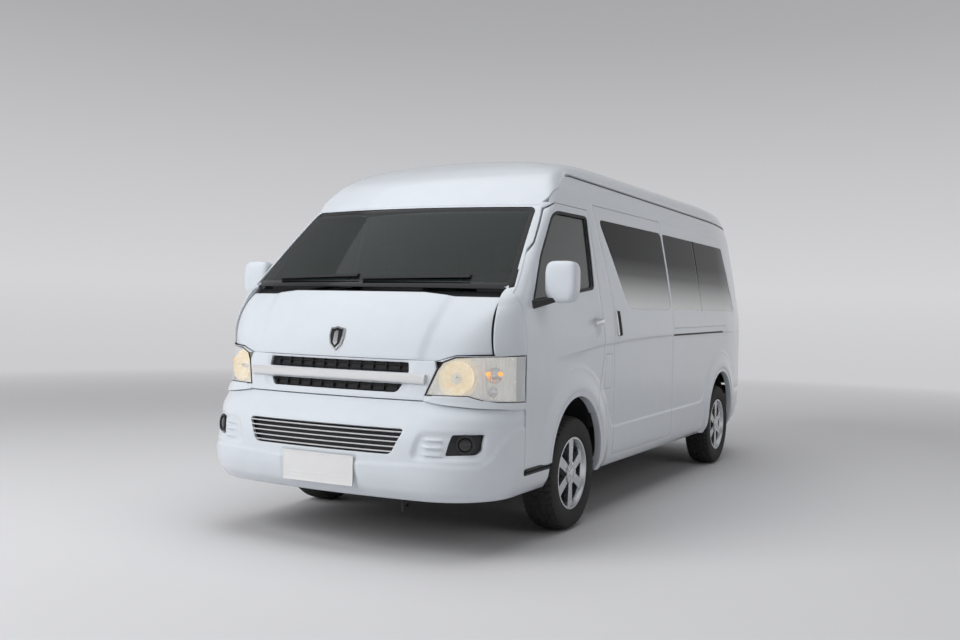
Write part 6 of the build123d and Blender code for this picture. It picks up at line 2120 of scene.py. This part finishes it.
# ---- light, floor and camera ----
@dataclass
class Studio:
    """Pale floor, soft lamps and the camera."""

    wall: tuple = ((0.0, (0.60, 0.60, 0.615)), (0.10, (0.66, 0.66, 0.675)),
                   (0.30, (0.56, 0.56, 0.575)), (0.55, (0.42, 0.42, 0.432)),
                   (1.0, (0.28, 0.28, 0.29)))
    lamps: tuple = (("key", (-4.5, -9.0, 6.0), 7.0, 760), ("top", (0.0, -1.0, 9.0), 9.0, 430),
                    ("fill", (9.0, -2.0, 5.5), 6.0, 120), ("back", (-2.0, 9.0, 6.0), 7.0, 160))
    flat_to: float = 12.0
    bend: tuple = (14.0, 12.0, 12.0)
    wall_top: float = 30.0
    wall_high: float = 18.0
    fade: tuple = (5.5, 13.0)
    unseen: float = 0.34
    sides: int = 72
    sensor: float = 36.0
    lens: float = 38.376
    yaw: float = 0.492271
    pitch: float = -0.013607
    roll: float = 0.021552
    eye: tuple = (3.2236, -6.9474, 1.2843)

    def build(self) -> None:
        """Make the floor, lamps, world and camera."""
        self.floor()
        self.world()
        for name, place, size, power in self.lamps:
            self.lamp(name, place, size, power)
        self.camera()

    def floor(self) -> None:
        """A pale floor that rises far off into a round wall, as one turned profile.

        Near the van it takes light and shadow; by smooth step of the distance it turns into
        its own even light, which is brightest low on the wall.
        """
        rise = np.linspace(0, np.pi / 2, 16)
        start, reach, tall = self.bend
        level = [0.01, 3.0, 6.0, 9.0, self.flat_to]
        out = np.concatenate([level, start + reach * np.sin(rise), [start + reach]])
        up = np.concatenate([np.zeros(len(level)), tall * (1 - np.cos(rise)), [self.wall_top]])
        a = np.linspace(0, 2 * np.pi, self.sides, endpoint=False)[:, None]
        grid = np.stack(np.broadcast_arrays(out * np.cos(a), out * np.sin(a), up), -1)
        mesh = bpy.data.meshes.new("studio_floor")
        mesh.from_pydata(grid.reshape(-1, 3).tolist(), [],
                         grid_faces(self.sides, len(up), wrap_rows=True))
        mesh.flip_normals()
        mesh.shade_smooth()
        mesh.materials.append(self.floor_finish())
        floor = bpy.data.objects.new("studio_floor", mesh)
        bpy.context.scene.collection.objects.link(floor)

    def floor_finish(self) -> bpy.types.Material:
        """Material of the floor and its wall."""
        tree = Tree("pale_floor")
        tree.put(Base_Color=(0.66, 0.66, 0.675, 1.0), Roughness=0.75, Specular_IOR_Level=0.2)
        away = tree.add("VectorMath")
        away.operation = "LENGTH"
        tree.link(tree.coords, away.inputs[0])
        near = tree.span(away.outputs["Value"], *self.fade, 0.0, 1.0)
        tall = tree.span(tree.height(), 0.0, self.wall_high, 0.0, 1.0)
        glow = tree.add("Emission")
        tree.link(tree.ramp(tall, self.wall), glow.inputs["Color"])
        tree.link(tree.span(self.seen(tree.graph), 0.0, 1.0, self.unseen, 1.0),
                  glow.inputs["Strength"])
        self.mix(tree.graph, near, tree.shader, glow, "Material Output")
        return tree.material

    @staticmethod
    def mix(tree: bpy.types.NodeTree, share: Socket, first: bpy.types.Node,
            second: bpy.types.Node, output: str) -> None:
        """Mix two shaders by a share of the second, into an output node's surface."""
        node = tree.nodes.new("ShaderNodeMixShader")
        for socket, source in zip(node.inputs, (share, first.outputs[0], second.outputs[0])):
            tree.links.new(source, socket)
        tree.links.new(node.outputs[0], tree.nodes[output].inputs["Surface"])

    @staticmethod
    def seen(tree: bpy.types.NodeTree) -> Socket:
        """One for rays of the camera, of mirrors and through glass, nought for the rest."""
        path = tree.nodes.new("ShaderNodeLightPath")
        total = path.outputs["Is Camera Ray"]
        for name in ("Is Glossy Ray", "Is Transmission Ray"):
            more = tree.nodes.new("ShaderNodeMath")
            more.operation = "ADD"
            more.use_clamp = True
            tree.links.new(total, more.inputs[0])
            tree.links.new(path.outputs[name], more.inputs[1])
            total = more.outputs[0]
        return total

    def world(self) -> None:
        """Even light for the object, and a pale wall for the camera, mirrors and glass."""
        world = bpy.data.worlds.new("studio_world")
        bpy.context.scene.world = world
        world.use_nodes = True
        tree = world.node_tree
        lighting = tree.nodes["Background"]
        pale = tree.nodes.new("ShaderNodeBackground")
        for node, colour, strength in ((lighting, (0.80, 0.81, 0.83, 1.0), 0.22),
                                       (pale, (0.56, 0.565, 0.58, 1.0), 1.0)):
            node.inputs["Color"].default_value = colour
            node.inputs["Strength"].default_value = strength
        self.mix(tree, self.seen(tree), lighting, pale, "World Output")

    def lamp(self, name: str, place: tuple, size: float, power: float) -> None:
        """A soft square lamp that points at the van's middle."""
        light = bpy.data.lights.new(name, "AREA")
        light.shape = "SQUARE"
        light.size = size
        light.energy = power
        lamp = bpy.data.objects.new(name, light)
        ahead = unit(np.array((0.0, 0.0, 1.0)) - np.array(place))
        right = unit(np.cross(ahead, (0, 0, 1)))
        lamp.matrix_world = self.axes(right, np.cross(right, ahead), -ahead, place)
        lamp.visible_glossy = False
        bpy.context.scene.collection.objects.link(lamp)

    @staticmethod
    def axes(x: np.ndarray, y: np.ndarray, z: np.ndarray, place: tuple) -> Matrix:
        """Matrix with the three axes as columns, at a place."""
        return Matrix([[x[i], y[i], z[i], place[i]] for i in range(3)] + [[0, 0, 0, 1]])

    def camera(self) -> None:
        """Camera from its lens, place and three angles."""
        cp, sp = math.cos(self.pitch), math.sin(self.pitch)
        cy, sy = math.cos(self.yaw), math.sin(self.yaw)
        ahead = np.array((-sy * cp, cy * cp, sp))
        right = np.array((cy, sy, 0.0))
        up = np.cross(right, ahead)
        c, s = math.cos(self.roll), math.sin(self.roll)
        data = bpy.data.cameras.new("camera")
        data.sensor_width = self.sensor
        data.lens = self.lens
        data.clip_end = 200
        camera = bpy.data.objects.new("camera", data)
        camera.matrix_world = self.axes(c * right + s * up, -s * right + c * up, -ahead,
                                        self.eye)
        scene = bpy.context.scene
        scene.collection.objects.link(camera)
        scene.camera = camera
        scene.view_settings.view_transform = "Standard"


@dataclass
class CadFinish:
    """Finishes for the CAD nodes that stay as they are."""

    finishes: Finishes

    def build(self) -> None:
        """Put a material in every kept node's slots."""
        f = self.finishes
        table = (
            (f.paint, ("front_structure",)), (f.trim, ("dashboard",)),
            (f.black, ("wipers", "wheelhouse_liners", "fuel_tank", "steering_column",
                       "steering_wheel")),
            (f.rubber, ("mud_flaps",)), (f.carpet, ("floor_pan",)),
            (f.steel, ("chassis_frame", "rear_axle", "front_suspension", "left_knuckle",
                       "right_knuckle", "propshaft", "spare_wheel")),
            (f.iron, ("engine_block",)), (f.bare, ("exhaust",)),
            (f.alloy, ("front_left_rim", "front_right_rim", "rear_left_rim",
                       "rear_right_rim")))
        for finish, names in table:
            for name in names:
                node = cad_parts[name]
                if not node.material_slots:
                    node.data.materials.append(finish)
                for slot in node.material_slots:
                    slot.material = finish


def main() -> None:
    """Build every sub-assembly in order and say which is being made."""
    logging.basicConfig(level=logging.INFO, format="%(message)s")
    finishes = Finishes().made()
    roof = Roof(finishes)
    for step in (CadFinish(finishes), roof, FrontEnd(finishes), RearEnd(finishes),
                 Lamps(finishes), Wheels(finishes), Fittings(finishes), Cabin(finishes),
                 Studio()):
        LOG.info("building %s", type(step).__name__)
        step.build()
    LOG.info("building BodySides")
    BodySides(finishes).build(roof.rail_line)


if __name__ == "__main__":
    main()
